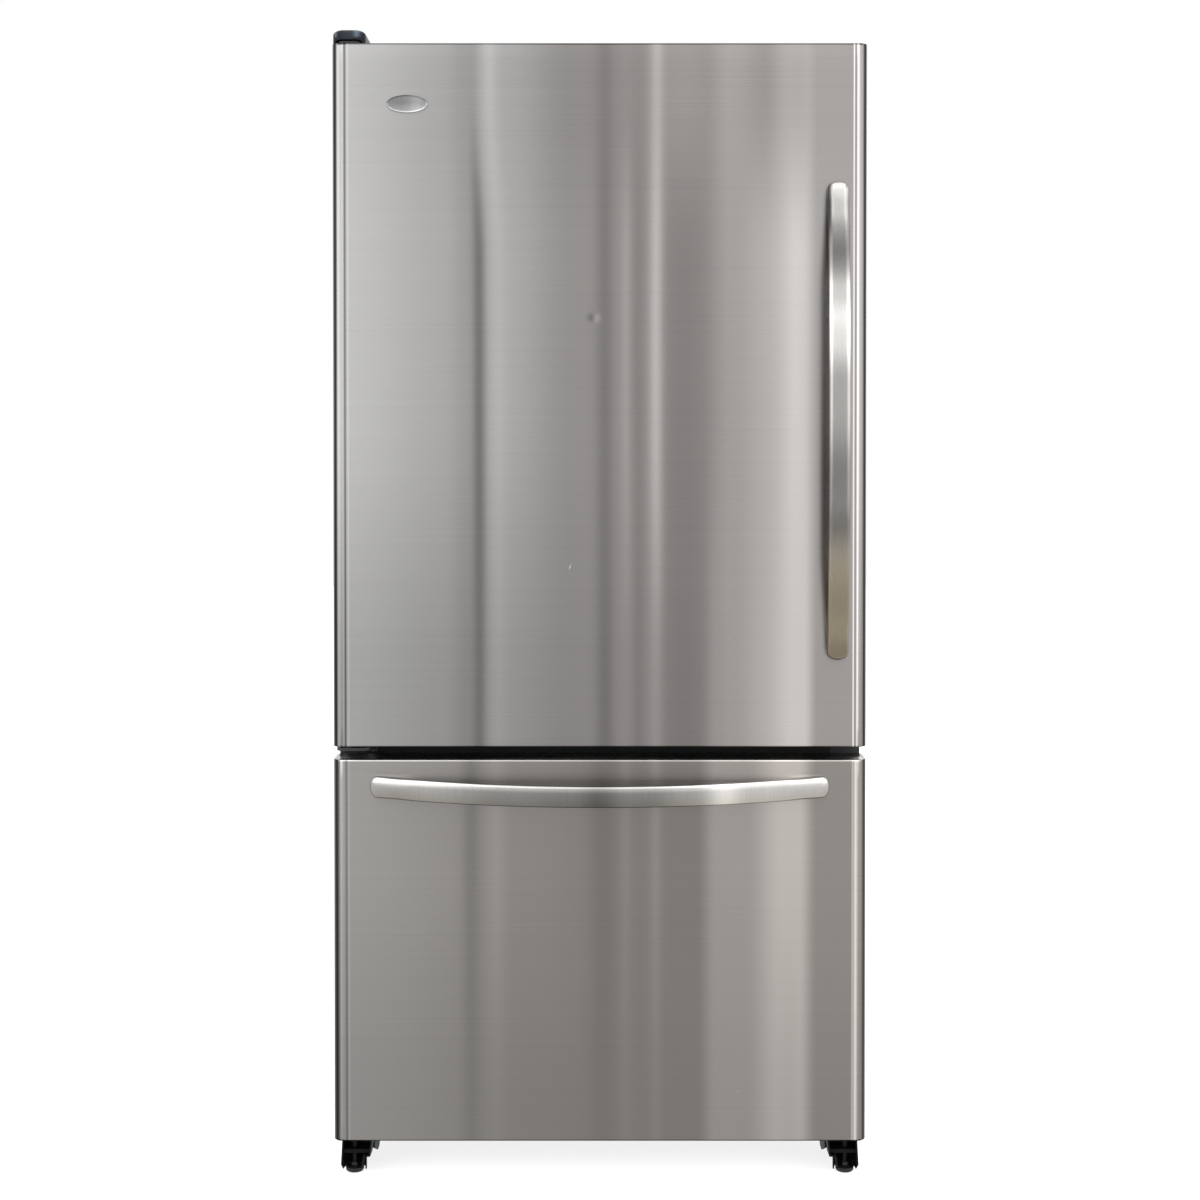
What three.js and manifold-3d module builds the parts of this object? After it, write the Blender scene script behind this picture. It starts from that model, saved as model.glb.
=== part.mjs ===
// A bottom freezer refrigerator, built as its separate pieces: hinged door over a pull-out drawer.
// Millimetres, +Z up, front towards -Y. While the pieces are laid out, y = 0 is the case's front face and
// z = 0 the floor; the finished group is then moved so that its origin is the middle of its footprint.
import * as THREE from 'three';
import { mergeVertices } from 'three/addons/utils/BufferGeometryUtils.js';
import Module from 'manifold-3d';

const wasm = await Module();
wasm.setup();

// ---- Driving dimensions ----

const CLEAR = 0.3; // between pieces that touch
const SHEET = 1.5; // folded sheet steel of the case
const SKIN = 1.2; // stainless sheet of the two fronts
const PLASTIC = 2.5; // moulded walls

const DOOR_THICKNESS = 70;
const DOOR_HEIGHT = 1087;
const DRAWER_HEIGHT = 594;
const DRAWER_BOTTOM = 62; // above the floor
const BETWEEN_FRONTS = 20;
const SEAL_GAP = 12; // case front to the fronts' rear edges
const EDGE_ROLL = 20; // radius rolled into the fronts' upright edges

const CASE_WIDTH = 826;
const FRONT_OVER_CASE = 1.5; // fronts past the case on each side
const CASE_DEPTH = 720;
const CASE_OVER_DOOR = 3;
const CASE_BOTTOM = 40;
const CASE_CORNER = 8;
const PAN_TOP = 58;
const SIDE_WALL = 55;
const TOP_WALL = 50;
const REAR_WALL = 62;
const FLOOR_WALL = 40;
const MULLION_HEIGHT = 49;
const MULLION_DEPTH = 30;
const LINER = 2;
const LINER_LIP = 5.5;
const LINER_CORNER = 10;

const MACHINE_DEPTH = 240;
const MACHINE_TOP = 300;
const STEP_WALL = 45;
const FREEZER_REAR_WALL = 80;
const COIL_SPACE = 77; // evaporator cover to the freezer's rear wall

const DOOR_DIKE_INSET = 72; // fronts' side edges to the raised ring of their inner panels
const DRAWER_DIKE_INSET = 92;
const DIKE_GAP = 12; // compartment's floor and ceiling to the raised ring
const DIKE_WIDTH = 36;
const DOOR_DIKE = 40;
const DRAWER_DIKE = 21;
const DIKE_CORNER = 24;
const GASKET_INSET = 26;
const GASKET_WIDTH = 24;

const HINGE_IN = 22; // door side to hinge axis
const HINGE_AHEAD = 52; // hinge axis ahead of the case front
const PIN_RADIUS = 5;
const PIN_LENGTH = 18;
const HINGE_PLATE = 4;

const HANDLE_REACH = 58;
const HANDLE_WIDTH = 33;
const HANDLE_END_WIDTH = 30;
const HANDLE_THICKNESS = 16;
const DOOR_HANDLE_LENGTH = 743;
const DOOR_HANDLE_IN = 43; // door side to the handle's centre line
const DOOR_HANDLE_RISE = 133; // door bottom to the handle's lower end
const DRAWER_HANDLE_LENGTH = 711;
const DRAWER_HANDLE_DROP = 45; // drawer top to the handle's end centre

const BIN_DEPTH = 105;
const BIN_CORNER = 12;
const LOWER_BIN_HEIGHT = 148;
const UPPER_BIN_HEIGHT = 115;
const DAIRY_HEIGHT = 80;
const DAIRY_DROP = 220; // door top to the dairy bin's rim, so that its flap stands up under the raised ring
const SHELF_FRONT = 112;
const SHELF_REAR_GAP = 54;
const LOWER_SHELF_RISE = 222; // crisper cover to the lower shelf
const UPPER_SHELF_RISE = 240; // lower shelf to the upper one
const SHELF_HEIGHT = 18;
const SHELF_RIM = 14;
const GLASS = 4;
const LEDGE = 12;
const CRISPER_HEIGHT = 190;
const CRISPER_SET_BACK = 20; // shelf front to the crisper's front wall
const CRISPER_REAR_GAP = 14;
const BASKET_WALL = 3;

const ROLLER_RADIUS = 18;
const REAR_ROLLER_RADIUS = 20;
const AXLE_RADIUS = 4;
const LEG_PAD_RADIUS = 14.5;
const LEG_STEM_RADIUS = 5;

// ---- Places worked out from them ----

const caseHalf = CASE_WIDTH / 2;
const doorHalf = caseHalf + FRONT_OVER_CASE;
const drawerTop = DRAWER_BOTTOM + DRAWER_HEIGHT;
const doorBottom = drawerTop + BETWEEN_FRONTS;
const doorTop = doorBottom + DOOR_HEIGHT;
const doorRear = -SEAL_GAP;
const doorFront = doorRear - DOOR_THICKNESS;

const caseTop = doorTop + CASE_OVER_DOOR;
const wallHalf = caseHalf - SIDE_WALL; // inside of both liners
const lipReach = LINER + LINER_LIP + CLEAR; // liner's inside to the edge of the hole it is let into
const mouthHalf = wallHalf + lipReach;
const mullionBottom = (drawerTop + doorBottom - MULLION_HEIGHT) / 2;
const mullionTop = mullionBottom + MULLION_HEIGHT;
const fridgeFloor = mullionTop + lipReach;
const fridgeCeiling = caseTop - TOP_WALL;
const fridgeRear = CASE_DEPTH - REAR_WALL;
const shelfRear = fridgeRear - SHELF_REAR_GAP;
const freezerFloor = PAN_TOP + FLOOR_WALL;
const freezerCeiling = mullionBottom - lipReach;
const freezerRear = CASE_DEPTH - FREEZER_REAR_WALL;
const machineFront = CASE_DEPTH - MACHINE_DEPTH;
const stepRear = machineFront - STEP_WALL;
const stepTop = MACHINE_TOP + STEP_WALL;
const coverRear = freezerRear - COIL_SPACE;
const panelRear = CASE_DEPTH - SHEET - CLEAR;

const hingeX = -doorHalf + HINGE_IN;
const hingeY = -HINGE_AHEAD;
const handleTip = doorFront - HANDLE_REACH;

// ---- Building blocks ----

/** Turns a closed three.js geometry into a solid that can be joined and cut. */
function solid(geometry) {
  geometry.deleteAttribute('normal');
  geometry.deleteAttribute('uv');
  const merged = mergeVertices(geometry, 1e-4);
  return new wasm.Manifold(new wasm.Mesh({
    numProp: 3,
    vertProperties: new Float32Array(merged.attributes.position.array),
    triVerts: new Uint32Array(merged.index.array),
  }));
}

function join(...pieces) {
  return pieces.flat().reduce((whole, piece) => whole.add(piece));
}

/** A rectangular block between two values on each axis, in either order. */
function block([x0, x1], [y0, y1], [z0, z1]) {
  const geometry = new THREE.BoxGeometry(Math.abs(x1 - x0), Math.abs(y1 - y0), Math.abs(z1 - z0));
  geometry.translate((x0 + x1) / 2, (y0 + y1) / 2, (z0 + z1) / 2);
  return solid(geometry);
}

/** The span from -half to +half. */
function across(half) {
  return [-half, half];
}

/** The span between two distances from the middle on one side, -1 for left and 1 for right. */
function onSide(side, near, far) {
  return [side * near, side * far];
}

function outline(points) {
  return new THREE.Shape(points.map(([u, v]) => new THREE.Vector2(u, v)));
}

/** A rectangle whose four corner radii can differ: lower left, lower right, upper right, upper left. */
function rounded([u0, u1], [v0, v1], radii) {
  const [a, b, c, d] = Array.isArray(radii) ? radii : [radii, radii, radii, radii];
  const shape = new THREE.Shape();
  shape.moveTo(u0 + a, v0);
  shape.lineTo(u1 - b, v0);
  if (b) shape.absarc(u1 - b, v0 + b, b, -Math.PI / 2, 0);
  shape.lineTo(u1, v1 - c);
  if (c) shape.absarc(u1 - c, v1 - c, c, 0, Math.PI / 2);
  shape.lineTo(u0 + d, v1);
  if (d) shape.absarc(u0 + d, v1 - d, d, Math.PI / 2, Math.PI);
  shape.lineTo(u0, v0 + a);
  if (a) shape.absarc(u0 + a, v0 + a, a, Math.PI, Math.PI * 1.5);
  return shape;
}

function extrude(shape, length, curveSegments) {
  return new THREE.ExtrudeGeometry(shape, { depth: length, bevelEnabled: false, curveSegments });
}

/** Extrudes an outline drawn in x and y upwards. */
function upright(shape, [z0, z1], curveSegments = 2) {
  return solid(extrude(shape, z1 - z0, curveSegments).translate(0, 0, z0));
}

/** Extrudes an outline drawn in y and z sideways. */
function sideways(shape, [x0, x1], curveSegments = 2) {
  const left = Math.min(x0, x1);
  const turn = new THREE.Matrix4().makeBasis(
    new THREE.Vector3(0, 1, 0), new THREE.Vector3(0, 0, 1), new THREE.Vector3(1, 0, 0));
  return solid(extrude(shape, Math.abs(x1 - x0), curveSegments).applyMatrix4(turn).translate(left, 0, 0));
}

/** Extrudes an outline drawn in x and z from front to rear. */
function lengthwise(shape, [y0, y1], curveSegments = 2) {
  const turn = new THREE.Matrix4().makeBasis(
    new THREE.Vector3(1, 0, 0), new THREE.Vector3(0, 0, 1), new THREE.Vector3(0, -1, 0));
  return solid(extrude(shape, y1 - y0, curveSegments).applyMatrix4(turn).translate(0, y1, 0));
}

const AXES = { x: new THREE.Vector3(1, 0, 0), y: new THREE.Vector3(0, 1, 0), z: new THREE.Vector3(0, 0, 1) };

/** A profile of [radius, distance] pairs turned round an axis that starts at a point. */
function turned(profile, axis, start, sides = 24) {
  const points = profile.map(([radius, along]) => new THREE.Vector2(radius, along));
  const geometry = new THREE.LatheGeometry(points, sides);
  const turn = new THREE.Quaternion().setFromUnitVectors(AXES.y, AXES[axis]);
  return solid(geometry.applyQuaternion(turn).translate(...start));
}

/** A round bar along an axis, from a start point. */
function bar(radius, length, axis, start, sides = 12) {
  return turned([[0, 0], [radius, 0], [radius, length], [0, length]], axis, start, sides);
}

/** Joins rings of equal point counts, arrays of [x, y, z], into one closed solid. */
function loft(rings) {
  const count = rings[0].length;
  const positions = rings.flat(2);
  const indices = [];
  for (let r = 0; r < rings.length - 1; r++) {
    for (let i = 0; i < count; i++) {
      const a = r * count + i;
      const b = r * count + (i + 1) % count;
      indices.push(a, b, a + count, b, b + count, a + count);
    }
  }
  for (let i = 1; i < count - 1; i++) {
    const last = (rings.length - 1) * count;
    indices.push(0, i + 1, i);
    indices.push(last, last + i, last + i + 1);
  }
  const geometry = new THREE.BufferGeometry();
  geometry.setAttribute('position', new THREE.Float32BufferAttribute(positions, 3));
  geometry.setIndex(indices);
  const piece = solid(geometry);
  if (piece.volume() > 0) return piece;
  geometry.setIndex(indices.reverse());
  return solid(geometry);
}

/** A round tube, solid inside, along a path of points with its bends rounded to a radius. */
function pipe(corners, radius, bend, sides = 6) {
  const path = new THREE.CurvePath();
  const points = corners.map((corner) => new THREE.Vector3(...corner));
  let from = points[0];
  for (let i = 1; i < points.length - 1; i++) {
    const back = points[i - 1].clone().sub(points[i]).setLength(bend).add(points[i]);
    const ahead = points[i + 1].clone().sub(points[i]).setLength(bend).add(points[i]);
    path.add(new THREE.LineCurve3(from, back));
    path.add(new THREE.QuadraticBezierCurve3(back, points[i], ahead));
    from = ahead;
  }
  path.add(new THREE.LineCurve3(from, points.at(-1)));
  const stations = path.curves.flatMap((curve) => curve.getPoints(curve.isLineCurve3 ? 1 : 2).slice(0, -1));
  stations.push(points.at(-1));
  let normal = new THREE.Vector3(0.3, 0.5, 0.81).normalize();
  const rings = stations.map((station, i) => {
    const before = stations[Math.max(i - 1, 0)];
    const after = stations[Math.min(i + 1, stations.length - 1)];
    const tangent = after.clone().sub(before).normalize();
    normal = normal.clone().addScaledVector(tangent, -normal.dot(tangent)).normalize();
    const binormal = tangent.clone().cross(normal);
    return Array.from({ length: sides }, (_, k) => {
      const angle = (k / sides) * Math.PI * 2;
      return station.clone()
        .addScaledVector(normal, Math.cos(angle) * radius)
        .addScaledVector(binormal, Math.sin(angle) * radius)
        .toArray();
    });
  });
  return loft(rings);
}

const fridge = new THREE.Group();

function place(name, piece, { color, roughness, metalness = 0, opacity = 1 }) {
  const { vertProperties, triVerts } = piece.getMesh();
  const geometry = new THREE.BufferGeometry();
  geometry.setAttribute('position', new THREE.BufferAttribute(vertProperties, 3));
  geometry.setIndex(new THREE.BufferAttribute(triVerts, 1));
  geometry.computeVertexNormals();
  const material = new THREE.MeshStandardMaterial({
    color, roughness, metalness, opacity, transparent: opacity < 1,
  });
  const mesh = new THREE.Mesh(geometry, material);
  mesh.name = name;
  fridge.add(mesh);
}

const stainless = { color: 0x9c9a97, roughness: 0.34, metalness: 1 };
const handleSteel = { color: 0xb4b1ac, roughness: 0.28, metalness: 1 };
const caseBlack = { color: 0x1d1e20, roughness: 0.6 };
const blackSteel = { color: 0x121314, roughness: 0.45 };
const zincSteel = { color: 0x9a9c9e, roughness: 0.45, metalness: 1 };
const linerWhite = { color: 0xe9ebea, roughness: 0.4 };
const foamYellow = { color: 0xd9c88c, roughness: 0.95 };
const sealGrey = { color: 0x55575a, roughness: 0.7 };
const clearPlastic = { color: 0xdfe8ea, roughness: 0.15, opacity: 0.45 };
const shelfGlass = { color: 0xcfe3dc, roughness: 0.05, opacity: 0.35 };
const capSlate = { color: 0x2f3740, roughness: 0.25 };
const rubberBlack = { color: 0x17181a, roughness: 0.8 };
const aluminium = { color: 0xb9bcbe, roughness: 0.4, metalness: 1 };
const copper = { color: 0x3a3431, roughness: 0.5, metalness: 0.6 };
const fanPlastic = { color: 0x2c2e30, roughness: 0.5 };

// ---- Case: folded wrapper, base pan, rear panel and mullion ----

const REAR_FLANGE = 16;
const SWITCH_IN = 213; // case side to the door switch
const SWITCH_RADIUS = 3.7;
const SWITCH_LENGTH = 34;
const switchX = caseHalf - SWITCH_IN;
const switchZ = caseTop - SWITCH_RADIUS * 4.2;
const switchFront = doorRear - SKIN + CLEAR / 2;

function arch(half, [bottom, top], corner) {
  return rounded(across(half), [bottom, top], [0, 0, corner, corner]);
}

function cabinetShell() {
  const inner = arch(caseHalf - SHEET, [0, caseTop - SHEET], CASE_CORNER - SHEET);
  const mouth = outline([
    [-mouthHalf, 0], [mouthHalf, 0],
    [mouthHalf, fridgeCeiling + lipReach], [-mouthHalf, fridgeCeiling + lipReach],
  ]);
  const rearHalf = caseHalf - REAR_FLANGE;
  const rearTop = caseTop - REAR_FLANGE;
  return lengthwise(arch(caseHalf, [CASE_BOTTOM, caseTop], CASE_CORNER), [0, CASE_DEPTH])
    .subtract(lengthwise(inner, [SHEET, CASE_DEPTH - SHEET]))
    .subtract(lengthwise(mouth, [-1, SHEET + 1]))
    .subtract(block(across(rearHalf), [CASE_DEPTH - SHEET - 1, CASE_DEPTH + 1], [0, rearTop]))
    .subtract(bar(SWITCH_RADIUS + CLEAR, SHEET + 2, 'y', [switchX, -1, switchZ]));
}

const REAR_AXLE_IN = 33;
const REAR_AXLE_Y = CASE_DEPTH - 62;
const rearAxleX = caseHalf - REAR_AXLE_IN;
const REAR_FORK_HALF = 12.5;
const FORK_SHEET = 2;
const FORK_ROOT = 26; // half the fork's length where it leaves the pan
const FORK_FOOT = 9;

/** Base pan with the front sill and the two forks for the rear rollers. */
function baseFrame() {
  const half = caseHalf - SHEET - CLEAR;
  const front = SHEET + CLEAR;
  const lip = mouthHalf - CLEAR;
  const sillTop = freezerFloor - lipReach;
  const pan = block(across(half), [front, panelRear], [CASE_BOTTOM, PAN_TOP])
    .subtract(block(across(half - SHEET), [front + SHEET, panelRear - SHEET], [0, PAN_TOP - SHEET]));
  const sill = block(across(lip), [0, front + SHEET], [CASE_BOTTOM, PAN_TOP])
    .add(block(across(lip), [0, SHEET], [PAN_TOP - 1, sillTop]));
  const forks = [-1, 1].map((side) => {
    const cheek = outline([
      [REAR_AXLE_Y - FORK_ROOT, PAN_TOP - 1], [REAR_AXLE_Y - FORK_FOOT, REAR_ROLLER_RADIUS - FORK_FOOT],
      [REAR_AXLE_Y + FORK_FOOT, REAR_ROLLER_RADIUS - FORK_FOOT], [REAR_AXLE_Y + FORK_ROOT, PAN_TOP - 1],
    ]);
    const inner = rearAxleX - REAR_FORK_HALF;
    const outer = rearAxleX + REAR_FORK_HALF;
    return [
      sideways(cheek, onSide(side, inner - FORK_SHEET, inner)),
      sideways(cheek, onSide(side, outer, outer + FORK_SHEET)),
      bar(AXLE_RADIUS, REAR_FORK_HALF * 2 + FORK_SHEET * 2, 'x',
        [side * rearAxleX - REAR_FORK_HALF - FORK_SHEET, REAR_AXLE_Y, REAR_ROLLER_RADIUS]),
    ];
  });
  return join(pan, sill, forks.flat());
}

/** Rear panel: one sheet that steps forward over the machine space and down to the pan. */
function backPanel() {
  const rear = panelRear;
  const top = caseTop - SHEET - CLEAR;
  const profile = outline([
    [rear - SHEET, top], [rear - SHEET, MACHINE_TOP], [machineFront, MACHINE_TOP],
    [machineFront, PAN_TOP + CLEAR], [machineFront + SHEET, PAN_TOP + CLEAR],
    [machineFront + SHEET, MACHINE_TOP - SHEET], [rear, MACHINE_TOP - SHEET], [rear, top],
  ]);
  return sideways(profile, across(caseHalf - SHEET - CLEAR - CASE_CORNER));
}

function mullionRail() {
  const lip = mouthHalf - CLEAR;
  const hollow = [mullionBottom + SHEET, mullionTop - SHEET];
  return block(across(lip), [0, MULLION_DEPTH], [mullionBottom, mullionTop])
    .subtract(block(across(lip + 1), [SHEET, MULLION_DEPTH + 1], hollow));
}

// ---- Liners and foam ----

function liner([bottom, top], rear) {
  const half = wallHalf + LINER;
  return {
    body: lengthwise(
      rounded(across(half), [bottom - LINER, top + LINER], LINER_CORNER + LINER), [0, rear + LINER]),
    hollow: lengthwise(rounded(across(wallHalf), [bottom, top], LINER_CORNER), [-1, rear]),
    lip: block(across(half + LINER_LIP), [0, LINER], [bottom - LINER - LINER_LIP, top + LINER + LINER_LIP]),
    space: lengthwise(
      rounded(across(half + CLEAR), [bottom - LINER - CLEAR, top + LINER + CLEAR], LINER_CORNER + LINER),
      [-1, rear + LINER + CLEAR]),
  };
}

const CRISPER_RIB = 4;
const crisperBottom = fridgeFloor + CRISPER_RIB + CLEAR;
const crisperTop = crisperBottom + CRISPER_HEIGHT;
const coverLevel = crisperTop + 8;
const shelfLevels = {
  cover: coverLevel,
  lower: coverLevel + LOWER_SHELF_RISE,
  upper: coverLevel + LOWER_SHELF_RISE + UPPER_SHELF_RISE,
};
const LEDGE_HEIGHT = 10;
const BASKET_LEDGE_TOP = 552;
const ribInsets = [60, 290];

/** A moulded rail along each side wall, on which a shelf or basket rests. */
function wallLedges(top, [front, rear]) {
  return [-1, 1].map((side) => block(
    onSide(side, wallHalf - LEDGE, wallHalf + LINER / 2), [front, rear], [top - LEDGE_HEIGHT, top]));
}

function fridgeLiner() {
  const parts = liner([fridgeFloor, fridgeCeiling], fridgeRear);
  const ledges = Object.values(shelfLevels).flatMap(
    (level) => wallLedges(level - CLEAR, [SHELF_FRONT + 8, shelfRear]));
  const ribs = [-1, 1].flatMap((side) => ribInsets.map((inset) => block(
    onSide(side, inset - 3, inset + 3), [SHELF_FRONT + 20, shelfRear - 10],
    [fridgeFloor - LINER / 2, fridgeFloor + CRISPER_RIB])));
  return join(parts.body, parts.lip).subtract(parts.hollow).add(join(ledges, ribs));
}

function freezerStep([left, right], margin) {
  const y = [stepRear + margin, freezerRear + LINER + 5];
  return block([left, right], y, [freezerFloor - 20, stepTop - margin]);
}

function freezerLiner() {
  const parts = liner([freezerFloor, freezerCeiling], freezerRear);
  const half = wallHalf + LINER;
  const step = freezerStep(across(half + 1), LINER);
  const hollow = parts.hollow.subtract(freezerStep(across(half + 1), 0));
  return join(parts.body.subtract(step), parts.lip)
    .subtract(hollow)
    .add(join(wallLedges(BASKET_LEDGE_TOP, [MULLION_DEPTH / 2, coverRear - 20])));
}

function cabinetFoam() {
  const half = caseHalf - SHEET - CLEAR;
  const fresh = liner([fridgeFloor, fridgeCeiling], fridgeRear).space;
  const freezer = liner([freezerFloor, freezerCeiling], freezerRear).space
    .subtract(freezerStep(across(half), LINER + CLEAR));
  const front = LINER + CLEAR;
  const shape = arch(half, [PAN_TOP + CLEAR, caseTop - SHEET - CLEAR], CASE_CORNER - SHEET - CLEAR);
  const machine = block(
    across(half + 1), [machineFront - CLEAR, CASE_DEPTH], [0, MACHINE_TOP + CLEAR]);
  const mullion = block(
    across(mouthHalf), [0, MULLION_DEPTH + CLEAR], [mullionBottom - CLEAR, mullionTop + CLEAR]);
  return lengthwise(shape, [front, panelRear - SHEET - CLEAR])
    .subtract(fresh)
    .subtract(freezer)
    .subtract(machine)
    .subtract(mullion)
    .subtract(bar(SWITCH_RADIUS + CLEAR * 2, SWITCH_LENGTH, 'y', [switchX, 0, switchZ]));
}

function lightSwitch() {
  const r = SWITCH_RADIUS;
  const profile = [[0, 0], [r - 1.2, 0], [r, 1.2], [r, SWITCH_LENGTH - 3], [0, SWITCH_LENGTH - 3]];
  return turned(profile, 'y', [switchX, switchFront, switchZ], 12);
}

place('cabinet_shell', cabinetShell(), caseBlack);
place('base_frame', baseFrame(), blackSteel);
place('back_panel', backPanel(), zincSteel);
place('mullion_rail', mullionRail(), caseBlack);
place('fridge_liner', fridgeLiner(), linerWhite);
place('freezer_liner', freezerLiner(), linerWhite);
place('cabinet_foam', cabinetFoam(), foamYellow);
place('light_switch_plunger', lightSwitch(), linerWhite);

// ---- The two fronts: rolled skin, foam core, moulded inner panel and gasket ----

const HEM = 3.5;
const panelFace = doorRear - SKIN - CLEAR; // rear face of the inner panel's flat part
const SEAL_EDGE = 5; // gasket to the fronts' facing edges
const SEAL_OVER = 28; // gasket past the compartment's far floor or ceiling

/** Plan outline of a front, inset from the skin's outside. */
function frontPlan(inset, rear) {
  const roll = EDGE_ROLL - inset;
  return rounded(across(doorHalf - inset), [doorFront + inset, rear], [roll, roll, 0, 0]);
}

function skin([bottom, top], holes) {
  const opening = HEM + SKIN;
  const pan = upright(frontPlan(0, doorRear), [bottom, top], 4)
    .subtract(upright(frontPlan(SKIN, doorRear - SKIN), [bottom + SKIN, top - SKIN], 4))
    .subtract(block(
      across(doorHalf - opening), [doorRear - SKIN - 1, doorRear + 1], [bottom + opening, top - opening]));
  return holes.reduce((piece, hole) => piece.subtract(hole), pan);
}

/** The raised ring on an inner panel, shrunk on every face by an inset. */
function dikeRing({ dike: { half, span: [bottom, top], depth } }, inset, from) {
  const outer = rounded(across(half - inset), [bottom + inset, top - inset], DIKE_CORNER - inset);
  const far = DIKE_WIDTH - inset;
  outer.holes.push(rounded(across(half - far), [bottom + far, top - far], DIKE_CORNER / 3 + inset));
  return lengthwise(outer, [from, panelFace + depth - inset]);
}

function foamCore(front, holes) {
  const [bottom, top] = front.span;
  const inset = SKIN + CLEAR;
  const rear = panelFace - PLASTIC - CLEAR;
  const core = upright(frontPlan(inset, rear), [bottom + inset, top - inset], 4)
    .add(dikeRing(front, PLASTIC + CLEAR, rear - 1));
  return holes.reduce((piece, hole) => piece.subtract(hole), core);
}

function innerPanel(front, lugs) {
  const [bottom, top] = front.span;
  const inset = SKIN + CLEAR;
  const y = [panelFace - PLASTIC, panelFace];
  const panel = block(across(doorHalf - inset), y, [bottom + inset, top - inset])
    .add(dikeRing(front, 0, panelFace - PLASTIC))
    .subtract(dikeRing(front, PLASTIC, panelFace - PLASTIC - 1));
  return lugs.reduce((piece, lug) => piece.add(lug), panel);
}

/** Magnetic gasket: a wide foot in the panel's groove and a narrower bellows that meets the case. */
function gasket({ seal: [bottom, top] }) {
  const foot = 4;
  const half = doorHalf - GASKET_INSET;
  const frame = (inset, width, span) => {
    const shape = rounded(across(half - inset), [bottom + inset, top - inset], 6);
    const far = inset + width;
    shape.holes.push(rounded(across(half - far), [bottom + far, top - far], 4));
    return lengthwise(shape, span, 1);
  };
  const front = panelFace + CLEAR;
  return frame(0, GASKET_WIDTH, [front, front + foot])
    .add(frame(3, GASKET_WIDTH - 8, [front + foot - 1, -CLEAR]));
}

const pinHole = (radius, [z0, z1]) => bar(radius, z1 - z0, 'z', [hingeX, hingeY, z0]);
const door = {
  span: [doorBottom, doorTop],
  seal: [doorBottom + SEAL_EDGE, fridgeCeiling + SEAL_OVER],
  dike: {
    half: doorHalf - DOOR_DIKE_INSET,
    span: [fridgeFloor + DIKE_GAP, fridgeCeiling - DIKE_GAP],
    depth: DOOR_DIKE,
  },
};
const drawer = {
  span: [DRAWER_BOTTOM, drawerTop],
  seal: [freezerFloor - SEAL_OVER, drawerTop - SEAL_EDGE],
  dike: {
    half: doorHalf - DRAWER_DIKE_INSET,
    span: [freezerFloor + DIKE_GAP, freezerCeiling - DIKE_GAP],
    depth: DRAWER_DIKE,
  },
};
const PIN_PLAY = 0.6;

function pinHoles(play) {
  const depth = PIN_LENGTH + 4;
  return [
    pinHole(PIN_RADIUS + play, [doorBottom - 1, doorBottom + depth]),
    pinHole(PIN_RADIUS + play, [doorTop - depth, doorTop + 1]),
  ];
}

// Door bins: one above the raised ring's lower run, one under the dairy flap, and one midway
const binInner = door.dike.half - DIKE_WIDTH; // inner face of the raised ring
const binHalf = binInner - 9;
const EAR_REACH = 6;
const EAR_HEIGHT = 12;
const EAR_AHEAD = 4; // panel to the bin's ear
const EAR_LENGTH = 30;
const LUG_HEIGHT = 9;
const binFront = panelFace + CLEAR;
const lowerBinBottom = door.dike.span[0] + DIKE_WIDTH + 8;
const dairyTop = doorTop - DAIRY_DROP;
const dairyBottom = dairyTop - DAIRY_HEIGHT;
const upperBinBottom = (lowerBinBottom + LOWER_BIN_HEIGHT + dairyBottom - UPPER_BIN_HEIGHT) / 2;
const bins = {
  door_bin_lower: [lowerBinBottom, lowerBinBottom + LOWER_BIN_HEIGHT],
  door_bin_upper: [upperBinBottom, upperBinBottom + UPPER_BIN_HEIGHT],
  dairy_bin: [dairyBottom, dairyTop],
};

/** Small shelves on the raised ring's inner faces, under the ears of each bin. */
function binLugs() {
  return Object.values(bins).flatMap(([, top]) => [-1, 1].map((side) => block(
    onSide(side, binHalf + 2, binInner + 1),
    [binFront + EAR_AHEAD + 1, binFront + EAR_AHEAD + EAR_LENGTH - 2],
    [top - EAR_HEIGHT - CLEAR - LUG_HEIGHT, top - EAR_HEIGHT - CLEAR])));
}

place('door_skin', skin(door.span, pinHoles(PIN_PLAY)), stainless);
place('door_foam', foamCore(door, pinHoles(PIN_PLAY + 0.2)), foamYellow);
place('door_liner', innerPanel(door, binLugs()), linerWhite);
place('door_gasket', gasket(door), sealGrey);
place('drawer_skin', skin(drawer.span, []), stainless);
place('drawer_foam', foamCore(drawer, []), foamYellow);
place('drawer_liner', innerPanel(drawer, []), linerWhite);
place('drawer_gasket', gasket(drawer), sealGrey);

// ---- Bowed handles ----

const HANDLE_STATIONS = 30;
const HANDLE_SIDES = 12;
const FOOT_SHARE = 0.1; // of the half length, where the bar lies on the front
const END_ROUND = 15;

function smooth(t) {
  const s = Math.min(Math.max(t, 0), 1);
  return s * s * (3 - 2 * s);
}

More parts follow.
